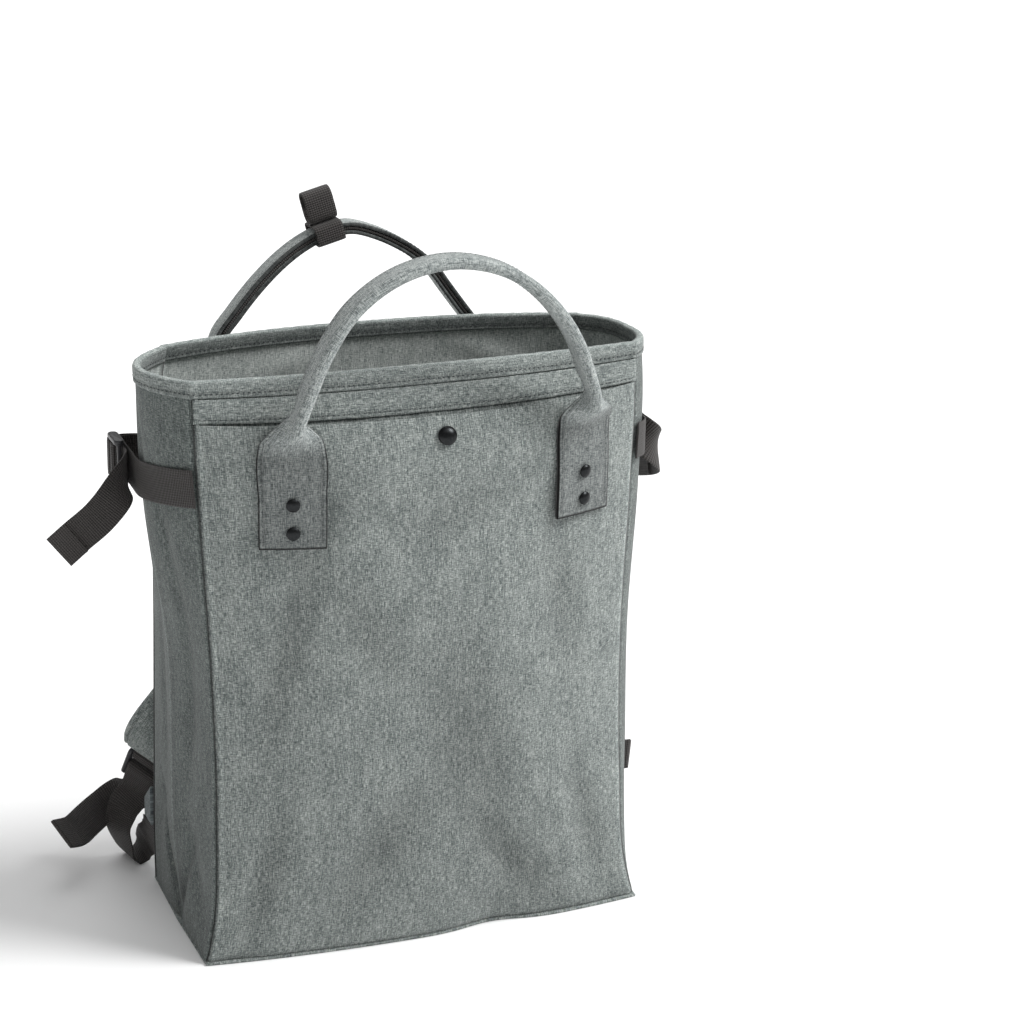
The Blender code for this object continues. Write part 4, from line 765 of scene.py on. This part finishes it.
def tape(name, centres, across, node=None, width=WEBBING_WIDTH, thickness=WEBBING, closed=False,
         fine=4):
    """Flat tape along a path: at each place a flat oval ring spanned by across and the normal.

    across is one direction for the whole tape or a direction for each place.
    """
    centres = np.asarray(centres, float)
    across = unit(np.broadcast_to(np.asarray(across, float), centres.shape))
    turned_over = np.sum(across[1:] * across[:-1], axis=1) < 0
    across = across * np.cumprod(np.concatenate([[1.0], np.where(turned_over, -1.0, 1.0)]))[:, None]
    if closed:
        centres, across = closed_run(centres), closed_run(across)
    at = along = along_of(centres)
    if fine > 1:
        at = np.linspace(0.0, along[-1], fine * (len(centres) - 1) + 1)
        joined = smooth_rows(along, np.hstack([centres, across]), at)
        centres, across = joined[:, :3], unit(joined[:, 3:])
    if closed:
        centres, across, at = centres[:-1], across[:-1], at[:-1]
        ways = unit(np.roll(centres, -1, axis=0) - np.roll(centres, 1, axis=0))
    else:
        ways = unit(np.gradient(centres, axis=0))
    across = squared(across, ways)
    turn = np.linspace(0.0, 2 * np.pi, 20, endpoint=False)
    s, r = near_square(np.cos(turn)) * width / 2, near_square(np.sin(turn)) * thickness / 2
    rings = (centres[:, None] + across[:, None] * s[None, :, None]
             + np.cross(ways, across)[:, None] * r[None, :, None])
    if closed:
        rings, at = closed_run(rings), np.append(at, at[-1] + at[1])
    uv = np.stack(np.broadcast_arrays(np.append(s, s[0])[None, :], at[:, None]), -1)
    mesh = grid_mesh(name, rings, uv, closed=True, caps=not closed)
    dress(mesh, webbing_black, "black_webbing", *([node] if node else []))


for name, (route, edge_y, outward, _) in handle_runs.items():
    core_y = edge_y + outward * (CORE_WIDTH / 2 + GAP)
    centres = np.array([(x, core_y, z) for x, z in route[1:-1]])
    tape("core_tape_" + name, centres, (0.0, 1.0, 0.0), "handle_core_" + name, CORE_WIDTH,
         CORE_THICKNESS)


# ---- Keeper: a tape band tight round the back grip, and a second loop that stands open on it,
# which takes the front handle when both are carried together.
KEEPER_WIDTH, KEEPER_LOOP_HEIGHT, KEEPER_LOOP_WIDTH, KEEPER_PLAY = 0.0200, 0.0230, 0.0140, 0.0016
KEEPER_BAND_RADIUS, KEEPER_LOOP_RADIUS, KEEPER_STATION = 0.0020, 0.0050, 7
route, edge_y, outward, _ = handle_runs["back"]
x, z = route[KEEPER_STATION]
way = unit(route[KEEPER_STATION + 1] - route[KEEPER_STATION - 1])
keeper_up, keeper_across = np.array([-way[1], 0.0, way[0]]), np.array([0.0, 1.0, 0.0])
keeper_way = np.cross(keeper_across, keeper_up)
keeper_place = np.array([x, edge_y + outward * GRIP_DEPTH / 2, z])


def round_oblong(half_width, low, high, radius, count=8):
    """Outline of a rounded oblong, anticlockwise: a quarter circle about each corner's centre."""
    radius = min(radius, half_width, (high - low) / 2)
    side, top, bottom = half_width - radius, high - radius, low + radius
    places = []
    for index, (x, y) in enumerate(((side, top), (-side, top), (-side, bottom), (side, bottom))):
        angle = np.linspace(0.0, np.pi / 2, count) + index / 2 * np.pi
        places.append(np.stack([x + radius * np.cos(angle), y + radius * np.sin(angle)], -1))
    return np.concatenate(places)


def keeper_ring(name, half_width, low, high, radius, node):
    """Closed tape on a rounded oblong in the keeper's own plane."""
    w = WEBBING / 2
    outline = round_oblong(half_width + w, low - w, high + w, radius + w)
    outline = outline[np.linalg.norm(outline - np.roll(outline, 1, axis=0), axis=1) > 1e-5]
    centres = keeper_place + outline[:, :1] * keeper_across + outline[:, 1:] * keeper_up
    tape(name, centres, keeper_way, node, KEEPER_WIDTH, closed=True, fine=1)


half_height = FOLD_RADIUS + HANDLE_CLOTH / 2 + KEEPER_PLAY
half_depth = (GRIP_DEPTH + HANDLE_CLOTH) / 2 + KEEPER_PLAY
keeper_ring("keeper_tape_band", half_depth, -half_height, half_height, KEEPER_BAND_RADIUS,
            "keeper_band")
foot = half_height + 2 * WEBBING + GAP
keeper_ring("keeper_tape_loop", KEEPER_LOOP_WIDTH / 2 - WEBBING, foot,
            foot + KEEPER_LOOP_HEIGHT - 2 * WEBBING, KEEPER_LOOP_RADIUS, "keeper_loop")


# ---- Rivets and snap: pressed steel caps with a dark gunmetal plating, set through cloth and foot.
# Each is a low dome with a rolled rim, so it holds one soft highlight.
gunmetal, tree, shader, speckle = speckled_material(
    "gunmetal_plated_steel", 900.0, 3.0, "#1f2122", "#38393a", {"Metallic": 1.0})
gloss = add_node(tree, "ShaderNodeMapRange", {"Value": speckle, "To Min": 0.27, "To Max": 0.38})
tree.links.new(gloss.outputs["Result"], shader.inputs["Roughness"])

RIVET_DIAMETER, RIVET_HEIGHT, RIVET_SPACING, RIVET_FROM_FOOT_END = 0.0090, 0.0026, 0.0190, 0.0110
SNAP_DIAMETER, SNAP_HEIGHT, SNAP_DROP = 0.0125, 0.0045, 0.0390
SLOPE_STEP, CAP_CORNERS = 0.004, 48
CAP_PROFILE = [(0.0, 1.0), (0.18, 0.985), (0.36, 0.94), (0.55, 0.86), (0.72, 0.74), (0.85, 0.60),
               (0.91, 0.49), (0.945, 0.46), (0.985, 0.40), (1.0, 0.25), (0.99, 0.08), (0.96, 0.0),
               (0.001, 0.0)]


def pressed_cap(name, centre, axis, diameter, height, node):
    """Turned cap: a profile of radius and height carried round its axis, with a rolled rim."""
    profile = np.array(CAP_PROFILE) * np.array([diameter / 2, height])
    profile[0, 0] = 1e-5
    axis = unit(np.asarray(axis, float))
    side = unit(np.cross(axis, [1.0, 0.0, 0.0]))
    turn = np.linspace(0.0, 2 * np.pi, CAP_CORNERS, endpoint=False)[:, None]
    spoke = side * np.cos(turn) + np.cross(axis, side) * np.sin(turn)
    rings = centre + profile[:, None, :1] * spoke[None] + profile[:, None, 1:] * axis
    uv = np.zeros((len(profile), CAP_CORNERS + 1, 2))
    dress(grid_mesh(name, rings, uv, closed=True, caps=True, flip=True), gunmetal, "gunmetal", node)


def pocket_y(x, z):
    """y of the pocket's outer face."""
    return float(surface_y(pocket_place, x, z))


for side, side_name in ((-1, "left"), (1, "right")):
    x = FRONT_SHIFT + side * HANDLE_SPAN / 2
    for index, level_name in enumerate(("lower", "upper")):
        z = FOOT_BOTTOM + RIVET_FROM_FOOT_END + index * RIVET_SPACING
        slope_x = (pocket_y(x + SLOPE_STEP, z) - pocket_y(x, z)) / SLOPE_STEP
        slope_z = (pocket_y(x, z + SLOPE_STEP) - pocket_y(x, z)) / SLOPE_STEP
        normal = unit(np.array([slope_x, -1.0, slope_z]))
        share = (z - FOOT_BOTTOM) / (FOOT_MIDDLE - FOOT_BOTTOM)
        foot_y = pocket_y(x, FOOT_BOTTOM) * (1 - share) + pocket_y(x, FOOT_MIDDLE) * share
        centre = np.array([x, foot_y - FOOT_SEAT, z]) + normal * (HANDLE_CLOTH / 2 + 2 * GAP)
        cap_name = side_name + "_" + level_name
        pressed_cap("rivet_cap_" + cap_name, centre, normal, RIVET_DIAMETER, RIVET_HEIGHT,
                    "rivet_" + cap_name)
x, z = FRONT_SHIFT, BAG_HEIGHT - SNAP_DROP
slope = (pocket_y(x, z + SLOPE_STEP) - pocket_y(x, z - SLOPE_STEP)) / (2 * SLOPE_STEP)
normal = unit(np.array([0.0, -1.0, slope]))
pressed_cap("snap_cap", np.array([x, pocket_y(x, z), z]) + normal * 2 * GAP, normal,
            SNAP_DIAMETER, SNAP_HEIGHT, "snap_button")


# ---- Ladder-locks: moulded acetal, two oval cheeks joined by three bars, one on each side strap
# and one at the end of each shoulder strap. The tape turns round the bars.
acetal, tree, shader, speckle = speckled_material(
    "moulded_black_acetal", 1400.0, 2.0, "#262628", "#3f3f42", {"Roughness": 0.38, "IOR": 1.48})
relief = add_node(tree, "ShaderNodeBump", {"Height": speckle, "Strength": 0.25, "Distance": 0.0002})
tree.links.new(relief.outputs["Normal"], shader.inputs["Normal"])

LOCK_LENGTH, LOCK_SIDE_PLAY, LOCK_BAR = 0.0240, 0.0010, 0.0030
LOCK_CHEEK, LOCK_CHEEK_HEIGHT = 0.0035, 0.0070
LOCK_CHEEK_RADIUS, LOCK_BAR_RADIUS, BAR_INTO_CHEEK, SHARP_FROM = 0.0032, 0.0009, 0.0010, 35.0
LOCK_BARS = (-0.0100, -0.0010, 0.0090)
LOCK_HALF_INSIDE = WEBBING_WIDTH / 2 + LOCK_SIDE_PLAY
TURN = LOCK_BAR / 2 + 2 * GAP + WEBBING / 2
UNDER = TURN + WEBBING + 4 * GAP
CORNER_REACH, CORNER_CUT, LOCK_LEAD = 0.0014, 0.0004, 0.0045
LockFrame = namedtuple("LockFrame", "origin x y z")

# Eased ends of a cheek: place across it and share of its height
CHEEK_EASE = [(0.0, 0.80), (0.0003, 0.92), (0.0009, 1.0), (LOCK_CHEEK - 0.0009, 1.0),
              (LOCK_CHEEK - 0.0003, 0.92), (LOCK_CHEEK, 0.80)]


def lock_frame(origin, along, across):
    """Axes of a lock: y along the strap, x across it made square to y, z out of the face."""
    y = unit(np.asarray(along, float))
    x = squared(np.asarray(across, float), y)
    return LockFrame(np.asarray(origin, float), x, y, np.cross(x, y))


def ladder_lock(name, axes, node):
    """Cheeks are rounded oblongs carried across with eased ends; bars are rounded squares."""
    half_height = LOCK_CHEEK_HEIGHT / 2
    cheek = round_oblong(LOCK_LENGTH / 2, -half_height, half_height, LOCK_CHEEK_RADIUS)
    bar = round_oblong(LOCK_BAR / 2, -LOCK_BAR / 2, LOCK_BAR / 2, LOCK_BAR_RADIUS, 4)
    bar_end = LOCK_HALF_INSIDE + BAR_INTO_CHEEK
    prisms = [[np.stack([np.full(len(cheek), side * (LOCK_HALF_INSIDE + reach)),
                         cheek[:, 0] * (1 - (1 - size) * 0.3), cheek[:, 1] * size], -1)
               for reach, size in CHEEK_EASE][::side] for side in (-1, 1)]
    prisms += [[np.stack([np.full(len(bar), x), middle + bar[:, 0], bar[:, 1]], -1)
                for x in (-bar_end, bar_end)] for middle in LOCK_BARS]
    points, faces, start = [], [], 0
    for rings in map(np.array, prisms):
        rows, count = rings.shape[:2]
        r, c = np.meshgrid(np.arange(rows - 1), np.arange(count), indexing="ij")
        near, far, n = start + r * count, start + (r + 1) * count, (c + 1) % count
        faces += np.stack([near + n, far + n, far + c, near + c], -1).reshape(-1, 4).tolist()
        faces += [list(range(start, start + count))[::-1],
                  list(range(start + (rows - 1) * count, start + rows * count))]
        points.append(rings.reshape(-1, 3))
        start += rows * count
    local = np.concatenate(points)
    placed = axes.origin + local[:, :1] * axes.x + local[:, 1:2] * axes.y + local[:, 2:] * axes.z
    mesh = bpy.data.meshes.new(name)
    mesh.from_pydata(placed.tolist(), [], faces)
    mesh.shade_smooth()
    mesh.set_sharp_from_angle(angle=math.radians(SHARP_FROM))
    dress(mesh, acetal, "buckle_plastic", node)


def round_bar(middle):
    """Tape's way over one bar, as y and z in the lock's frame."""
    near, far = middle - TURN, middle + TURN
    return [(near, TURN - CORNER_REACH), (near + CORNER_CUT, TURN - CORNER_CUT),
            (near + CORNER_REACH, TURN), (far - CORNER_REACH, TURN),
            (far - CORNER_CUT, TURN - CORNER_CUT), (far, TURN - CORNER_REACH)]


def in_frame(axes, yz):
    """Places in metres from y and z in the lock's frame."""
    yz = np.asarray(yz, float)
    return axes.origin + yz[:, :1] * axes.y + yz[:, 1:] * axes.z


def strap_thread(axes):
    """The strap comes in under the lock, over the middle bar and out under the front bar."""
    near, far = LOCK_BARS[1] - TURN, LOCK_BARS[1] + TURN
    leave = LOCK_LENGTH / 2 + LOCK_LEAD
    return in_frame(axes, [
        (leave, -UNDER), (LOCK_BARS[2] / 2, -UNDER), (near + CORNER_REACH, -UNDER),
        (near + CORNER_CUT, CORNER_CUT - UNDER), (near, CORNER_REACH - UNDER),
        *round_bar(LOCK_BARS[1]), (far, CORNER_REACH - TURN), (far + CORNER_CUT, CORNER_CUT - TURN),
        (far + CORNER_REACH, -TURN), (LOCK_BARS[2], -TURN), (leave, -TURN)])


def doubled_tape(name, axes, route, node):
    """Tape from its sewn end to the lock's low bar, round it, and back along itself."""
    low_bar = LOCK_BARS[0]
    over = [(low_bar, TURN)] + [place for place in round_bar(low_bar) if place[0] > low_bar]
    turn = in_frame(axes, over + [(y, -z) for y, z in over[::-1]])
    normals = unit(np.cross(axes.x, unit(np.gradient(route, axis=0))))
    share = np.linspace(0.0, 1.0, len(route))[:, None]
    spread = (WEBBING / 2 + GAP) * (1 - share) + TURN * share
    if np.dot(normals[-1], turn[0] - route[-1]) < 0:
        normals = -normals
    centres = np.vstack([route + normals * spread, turn, (route - normals * spread)[::-1]])
    tape(name, centres, axes.x, node, fine=3)


def easy_bend(start, start_way, end, end_way, count=6):
    """Cubic that leaves the start in one direction and enters the end in its own."""
    reach = np.linalg.norm(end - start)
    leave, enter = (unit(np.asarray(way, float)) * reach for way in (start_way, end_way))
    return cubic(np.linspace(0.0, 1.0, count)[:, None], start, leave, end, enter)


HEM_LENGTH, HEM_STATIONS, HEM_LIFT, HEM_SHARE = 0.0150, 8, 0.95, 0.985


def tip_hem(name, centres, across):
    """Second layer at a free tip: the last 15 mm of the tape folded back and lying on itself."""
    along = along_of(centres)
    at = np.linspace(along[-1] - HEM_LENGTH, along[-1], HEM_STATIONS)
    places, widths = rows_at(at, along, centres), rows_at(at, along, across)
    normals = unit(np.cross(unit(np.gradient(places, axis=0)), widths))
    normals = normals * (1.0 if normals[:, 1].mean() < 0 else -1.0)
    places = places + normals * WEBBING * HEM_LIFT
    tape(name, places, widths, width=WEBBING_WIDTH * HEM_SHARE, fine=2)


# ---- Side straps: tape sewn into the front seam, drawn round the gusset and through its lock.
# The free tail twists as it leaves the lock and hangs with a folded hem at its tip.
SIDE_STRAP_DROP, SIDE_LOCK_DROP, LOCK_FROM_SEAM, STRAP_OFF_GUSSET = 0.0680, 0.0755, 0.0155, 0.0010
SIDE_TAIL_LENGTH, FREE_STATIONS, ANCHOR_PLACE, ANCHOR_LEAN = 0.0750, 12, 0.96, 0.6
WRAP_PLACES = np.array([-0.99, -0.80, -0.60, -0.40, -0.20, 0.0])

# Stations of each free tail: place in shares of its length, then the direction of the tape's width
SIDE_TAILS = {
    "left": [(-0.012, -0.373, -0.020, 0.12, 0.0, -0.99), (-0.060, -0.480, -0.060, 0.45, 0.0, -0.89),
             (-0.135, -0.560, -0.135, 0.72, 0.0, -0.69), (-0.292, -0.590, -0.300, 0.70, 0.0, -0.71),
             (-0.511, -0.590, -0.471, 0.66, 0.0, -0.75), (-0.661, -0.600, -0.587, 0.60, 0.0, -0.80)],
    "right": [(0.030, -0.290, -0.020, 0.0, 0.0, -1.0), (0.090, -0.400, -0.090, -0.1, -0.1, -1.0),
              (0.170, -0.427, -0.190, -0.1, -0.2, -0.95), (0.250, -0.373, -0.290, 0.0, -0.3, -0.95),
              (0.297, -0.240, -0.370, 0.0, -0.4, -0.92), (0.303, -0.067, -0.440, 0.0, -0.4, -0.92),
              (0.277, 0.093, -0.490, 0.0, -0.35, -0.94)],
}


def smooth_table(table, count):
    """Places and width directions at even stations on the smooth curve through a table's rows."""
    rows = np.array(table)
    along = along_of(rows[:, :3])
    return np.hsplit(smooth_rows(along, rows, np.linspace(0.0, along[-1], count)), 2)


for side, name in ((-1, "left"), (1, "right")):
    z, seat = BAG_HEIGHT - SIDE_LOCK_DROP, -STRAP_OFF_GUSSET - WEBBING / 2
    wrap_z = z - (SIDE_LOCK_DROP - SIDE_STRAP_DROP) * WRAP_PLACES
    widest, seam = gusset_place(side, 0.0, z, seat), gusset_place(side, 1.0, z)
    axes = lock_frame((widest[0] + side * UNDER, seam[1] - LOCK_FROM_SEAM, z), (0.0, -1.0, 0.0),
                      (0.0, 0.0, side))
    wrap, thread = gusset_place(side, WRAP_PLACES, wrap_z, seat), strap_thread(axes)
    tail, tail_across = smooth_table(SIDE_TAILS[name], FREE_STATIONS)
    centres = np.vstack([wrap, thread, axes.origin + SIDE_TAIL_LENGTH * tail])
    across = np.vstack([np.tile([0.0, 0.0, float(side)], (len(wrap), 1)),
                        np.tile(axes.x, (len(thread), 1)), tail_across])
    tape("side_tape_" + name, centres, across, "side_strap_" + name, fine=5)
    tip_hem("side_tape_hem_" + name, centres, across)
    start = gusset_place(side, ANCHOR_PLACE, z, seat - WEBBING - GAP)
    leave = axes.origin - axes.y * LOCK_LENGTH / 2
    bend = easy_bend(start, (side, ANCHOR_LEAN, 0.0), leave, (0.0, -1.0, 0.0))
    doubled_tape("side_anchor_tape_" + name, axes, bend, "side_anchor_" + name)
    ladder_lock("side_lock_" + name, axes, "side_buckle_" + name)


# ---- Shoulder straps: two layers of melange cloth over 8 mm foam, sewn under the back band and
# topstitched 5 mm inside both edges; each ends in tape, a lock, and a tape to a cloth tab.
SHOULDER_WIDTH, SHOULDER_TIP_WIDTH, SHOULDER_PAD = 0.0550, 0.0480, 0.0090
TIP_LENGTH, WEBBING_REACH, TAB_REACH = 0.0150, 0.0500, 0.0180
TAB_SEAM_HEIGHT, TAB_END_HEIGHT, TAB_THICKNESS, TAB_ROUND = 0.0300, 0.0150, 0.0030, 0.18
STRAP_STATIONS, FINE_STATIONS = 17, 170
PAD_SQUARENESS, PAD_SIDE, PAD_THINNEST = 8, 0.6, 0.05
GROOVE, GROOVE_PLACE, GROOVE_WIDTH = 0.30, 0.17, 0.035

# Stations of the pad: x and height as shares, lift off the back, twist in degrees, share of the pad
SHOULDER_ROUTE = [
    (-0.304, 0.930, 0.004, 0.0, 0.30), (-0.304, 0.870, 0.020, 0.0, 0.80),
    (-0.306, 0.750, 0.050, 0.0, 1.00), (-0.335, 0.625, 0.070, 0.0, 1.00),
    (-0.430, 0.500, 0.075, 2.0, 1.00), (-0.608, 0.400, 0.060, 4.0, 1.00),
    (-0.796, 0.335, 0.040, 8.0, 1.00), (-0.920, 0.270, 0.072, 26.0, 1.00),
    (-0.963, 0.210, 0.150, 56.0, 0.80),
]

# Stations of the lower tape's loop and of its free tail, as for the side tails
LOWER_LOOP = [
    (-0.040, -0.330, -0.600, 0.10, -1.00, 0.0), (-0.040, -0.330, -0.740, 0.10, -1.00, 0.0),
    (-0.035, -0.240, -0.900, 0.15, -1.00, 0.0), (-0.040, 0.050, -1.124, 0.20, -0.97, 0.0),
    (-0.070, 0.140, -1.300, 0.18, -0.98, 0.0), (-0.160, 0.155, -1.384, 0.15, -0.99, 0.0),
    (-0.270, 0.130, -1.300, 0.20, -0.98, 0.0), (-0.350, 0.090, -1.084, 0.40, -0.91, -0.03),
    (-0.410, 0.060, -0.784, 0.52, -0.84, -0.15), (-0.320, 0.070, -0.540, 0.50, -0.68, -0.50),
]
LOWER_TAIL = [
    (-0.116, 0.190, -0.420, 0.60, -0.66, -0.45), (-0.310, 0.480, -0.530, 0.45, -0.60, -0.65),
    (-0.520, 0.510, -0.684, 0.30, -0.60, -0.75), (-0.785, 0.330, -0.774, 0.12, -0.75, -0.65),
    (-1.060, 0.010, -0.784, 0.0, -0.88, -0.45), (-1.290, -0.210, -0.694, -0.2, -0.95, -0.2),
]


def strap_line(side):
    """Centres, width directions, ways and pad shares at the strap's stations, as in the solid."""
    at = np.linspace(0.0, len(SHOULDER_ROUTE) - 1.0, STRAP_STATIONS)
    x, z, lift, twist, pad = smooth_rows(np.arange(len(SHOULDER_ROUTE)), SHOULDER_ROUTE, at).T
    x, z = -side * x * HALF, z * BAG_HEIGHT
    reach = SHOULDER_WIDTH / 4
    near, far = (surface_y(back_place, x + step, z) for step in (-reach, reach))
    y = surface_y(back_place, x, z) + lift * BASE_DEPTH + pad * SHOULDER_PAD / 2 + 3 * GAP
    centres = np.stack([x, y, z], -1)
    ways = unit(np.gradient(centres, axis=0))
    slope = (far - near) / (2 * reach)
    across = squared(np.stack([np.ones_like(x), slope, np.zeros_like(x)], -1), ways)
    turn = np.radians(-side * twist)[:, None]
    return centres, across * np.cos(turn) + np.cross(ways, across) * np.sin(turn), ways, pad


def padded_strap(name, side, node):
    """Foam strap: a flat oval section that thins towards its ends, with a groove along each edge.

    The rise across the strap is (1 - |s| ** 8) ** 0.6, less a narrow dip for the topstitching.
    """
    centres, across, _, pads = strap_line(side)
    along = along_of(centres)
    at = np.linspace(0.0, along[-1], FINE_STATIONS)
    joined = smooth_rows(along, np.hstack([centres, across, pads[:, None]]), at)
    centres, pads = joined[:, :3], joined[:, 6]
    ways = unit(np.gradient(centres, axis=0))
    across = squared(joined[:, 3:6], ways)
    half = np.linspace(SHOULDER_WIDTH, SHOULDER_TIP_WIDTH, len(at)) / 2
    s = np.concatenate([np.linspace(-1, -0.7, 12), np.linspace(-0.65, 0.65, 14),
                        np.linspace(0.7, 1, 12)])
    groove = GROOVE * bell(1 - np.abs(s) - GROOVE_PLACE, GROOVE_WIDTH)
    top = np.maximum((1 - np.abs(s) ** PAD_SQUARENESS) ** PAD_SIDE - groove, PAD_THINNEST)
    s, top = np.concatenate([s, s[::-1]]), np.concatenate([-top, top[::-1]])
    rise = pads[:, None] * SHOULDER_PAD / 2 * top
    rings = (centres[:, None] + across[:, None] * (half[:, None] * s)[..., None]
             + np.cross(across, ways)[:, None] * rise[..., None])
    uv_s = np.append(s, s[0])[None, :] * SHOULDER_WIDTH / 2
    uv = np.stack(np.broadcast_arrays(uv_s, at[:, None]), -1)
    mesh = grid_mesh(name, rings, uv, closed=True, caps=True)
    piece = dress(mesh, melange_grey, "heather_polyester", node)
    return rings


tab_cloth = woven_melange("tab_polyester_melange", "#3d4445", "#687072", "#959c9d")
strap_rings = {}
for side, name in ((-1, "left"), (1, "right")):
    strap_rings[name] = padded_strap("padded_strap_" + name, side, "shoulder_strap_" + name)
    end, end_across, end_way = (rows[-1] for rows in strap_line(side)[:3])
    axes = lock_frame(end + end_way * TIP_LENGTH, end_way, end_across)
    leave = end + end_way * (TIP_LENGTH - LOCK_LENGTH / 2)
    bend = easy_bend(end + end_way * 2 * GAP, end_way, leave, end_way, 3)
    doubled_tape("tip_tape_" + name, axes, bend, "strap_tip_" + name)
    ladder_lock("strap_lock_" + name, axes, "strap_buckle_" + name)

    mirror = np.array([-side, 1.0, 1.0])
    loop, loop_across = (rows * mirror for rows in smooth_table(LOWER_LOOP, 2 * FREE_STATIONS))
    tail, tail_across = (rows * mirror for rows in smooth_table(LOWER_TAIL, FREE_STATIONS))
    loop, tail = axes.origin + WEBBING_REACH * loop, axes.origin + WEBBING_REACH * tail
    thread = strap_thread(axes)
    across = np.vstack([loop_across, np.tile(axes.x, (len(thread), 1)), tail_across])
    tape("lower_tape_" + name, np.vstack([loop, thread, tail]), across, "lower_webbing_" + name,
         fine=5)
    tip_hem("lower_tape_hem_" + name, tail, tail_across)

    bottom = loop[0, 2] + 6 * GAP
    tab_x, seam_y, _ = back_place(float(side), bottom)
    shares = np.linspace(0.0, 1.0, 14)[:, None]
    outline = round_oblong(0.5, -0.5, 0.5, TAB_ROUND, 6)
    heights = TAB_SEAM_HEIGHT * (1 - shares) + TAB_END_HEIGHT * shares
    rings = np.stack(np.broadcast_arrays(
        tab_x + outline[:, 0] * TAB_THICKNESS, seam_y + 3 * GAP + TAB_REACH * shares,
        bottom + (outline[:, 1] + 0.5) * heights), -1)
    uv = np.concatenate([rings, rings[:, :1]], axis=1)[..., 1:]
    tab = grid_mesh("cloth_tab_" + name, rings, uv, closed=True, caps=True)
    dress(tab, tab_cloth, "heather_polyester_shade", "webbing_tab_" + name)


# ---- Topstitching: polyester thread in the cloth's darker grey, a stitch every 3.4 mm, on the rim,
# the bands, the handles' feet and grips, and the shoulder straps. Each stitch is a flat lens.
thread_grey = speckled_material("polyester_sewing_thread", 700.0, 1.0, "#262a2b", "#474d4e",
                                {"Roughness": 0.7})[0]
STITCH_PITCH, STITCH_LENGTH, STITCH_WIDTH, LOOK_AHEAD = 0.0034, 0.0021, 0.00080, 0.0005
SEAM_SINK, HANDLE_SINK, BAND_STITCH_END = 0.0002, 0.0001, 0.985
LENS_FACES = np.array([(0, 2, 5), (2, 1, 5), (1, 3, 5), (3, 0, 5),
                       (2, 0, 4), (1, 2, 4), (3, 1, 4), (0, 3, 4)])


def stitch_run(path, outward):
    """Corners of the stitches along a path: the ends, sides, bottom and top of each.

    outward is one direction for the whole path or a direction for each place.
    """
    outward = np.broadcast_to(outward, path.shape)
    along = along_of(path)
    at = np.arange(STITCH_PITCH / 2, along[-1], STITCH_PITCH)
    way = unit(rows_at(at + LOOK_AHEAD, along, path) - rows_at(at - LOOK_AHEAD, along, path) + 1e-9)
    out = squared(rows_at(at, along, outward), way)
    aside, centre = np.cross(way, out), rows_at(at, along, path)
    reaches = (way * STITCH_LENGTH / 2, aside * STITCH_WIDTH / 2, out * STITCH_WIDTH / 2)
    return np.stack([centre + sign * reach for reach in reaches for sign in (-1, 1)], axis=1)


runs = []
share = (BINDING_HEIGHT - STITCH_DROP) / (PANEL_TOP - BINDING_BOTTOM)
ring = low * (1 - share) + high * share
for distance, sign in ((OUTSIDE + BINDING_LEG / 2, 1.0), (INSIDE - BINDING_LEG / 2, -1.0)):
    placed = offset_plan(ring, np.full(len(ring), distance - sign * SEAM_SINK))
    placed[:, 2] = BAG_HEIGHT - STITCH_DROP
    outward = unit(offset_plan(ring, np.full(len(ring), sign)) - ring)
    runs.append(stitch_run(closed_run(placed), closed_run(outward)))
x = np.linspace(-BAND_STITCH_END, BAND_STITCH_END, 200)
for place_of, seat, outward in ((front_place, FRONT_BAND_SEAT, -1.0),
                                (back_place, BACK_BAND_SEAT, 1.0)):
    line = place_of(x, np.full_like(x, BAND_BOTTOM + BAND_STITCH), seat + SEAM_SINK)
    runs.append(stitch_run(line, (0.0, outward, 0.0)))
for _, _, outward, points in handle_runs.values():
    normals = unit(np.cross(np.gradient(points, axis=0), np.gradient(points, axis=1)))
    if np.mean(normals[:10, 10:20, 1]) * outward < 0:
        normals = -normals
    skin = points + normals * (HANDLE_CLOTH / 2 - HANDLE_SINK)
    for column in (2, len(RIBBON) - 3):
        runs.append(stitch_run(skin[2:-2, column], normals[2:-2, column]))
    for row in (3, -4):
        runs.append(stitch_run(skin[row, 2:-2], normals[row, 2:-2]))
for rings in strap_rings.values():
    last = rings.shape[1] - 1
    for column in (6, last // 2 - 6):
        for face in (column, last - column):
            line, mate = rings[6:-2, face], rings[6:-2, last - face]
            runs.append(stitch_run(line, unit(line - mate)))
corners = np.concatenate(runs)
base = np.arange(len(corners))[:, None, None] * 6
mesh = bpy.data.meshes.new("topstitching")
faces = (base + LENS_FACES[None]).reshape(-1, 3).tolist()
mesh.from_pydata(corners.reshape(-1, 3).tolist(), [], faces)
mesh.shade_smooth()
dress(mesh, thread_grey, "heather_polyester_shade")
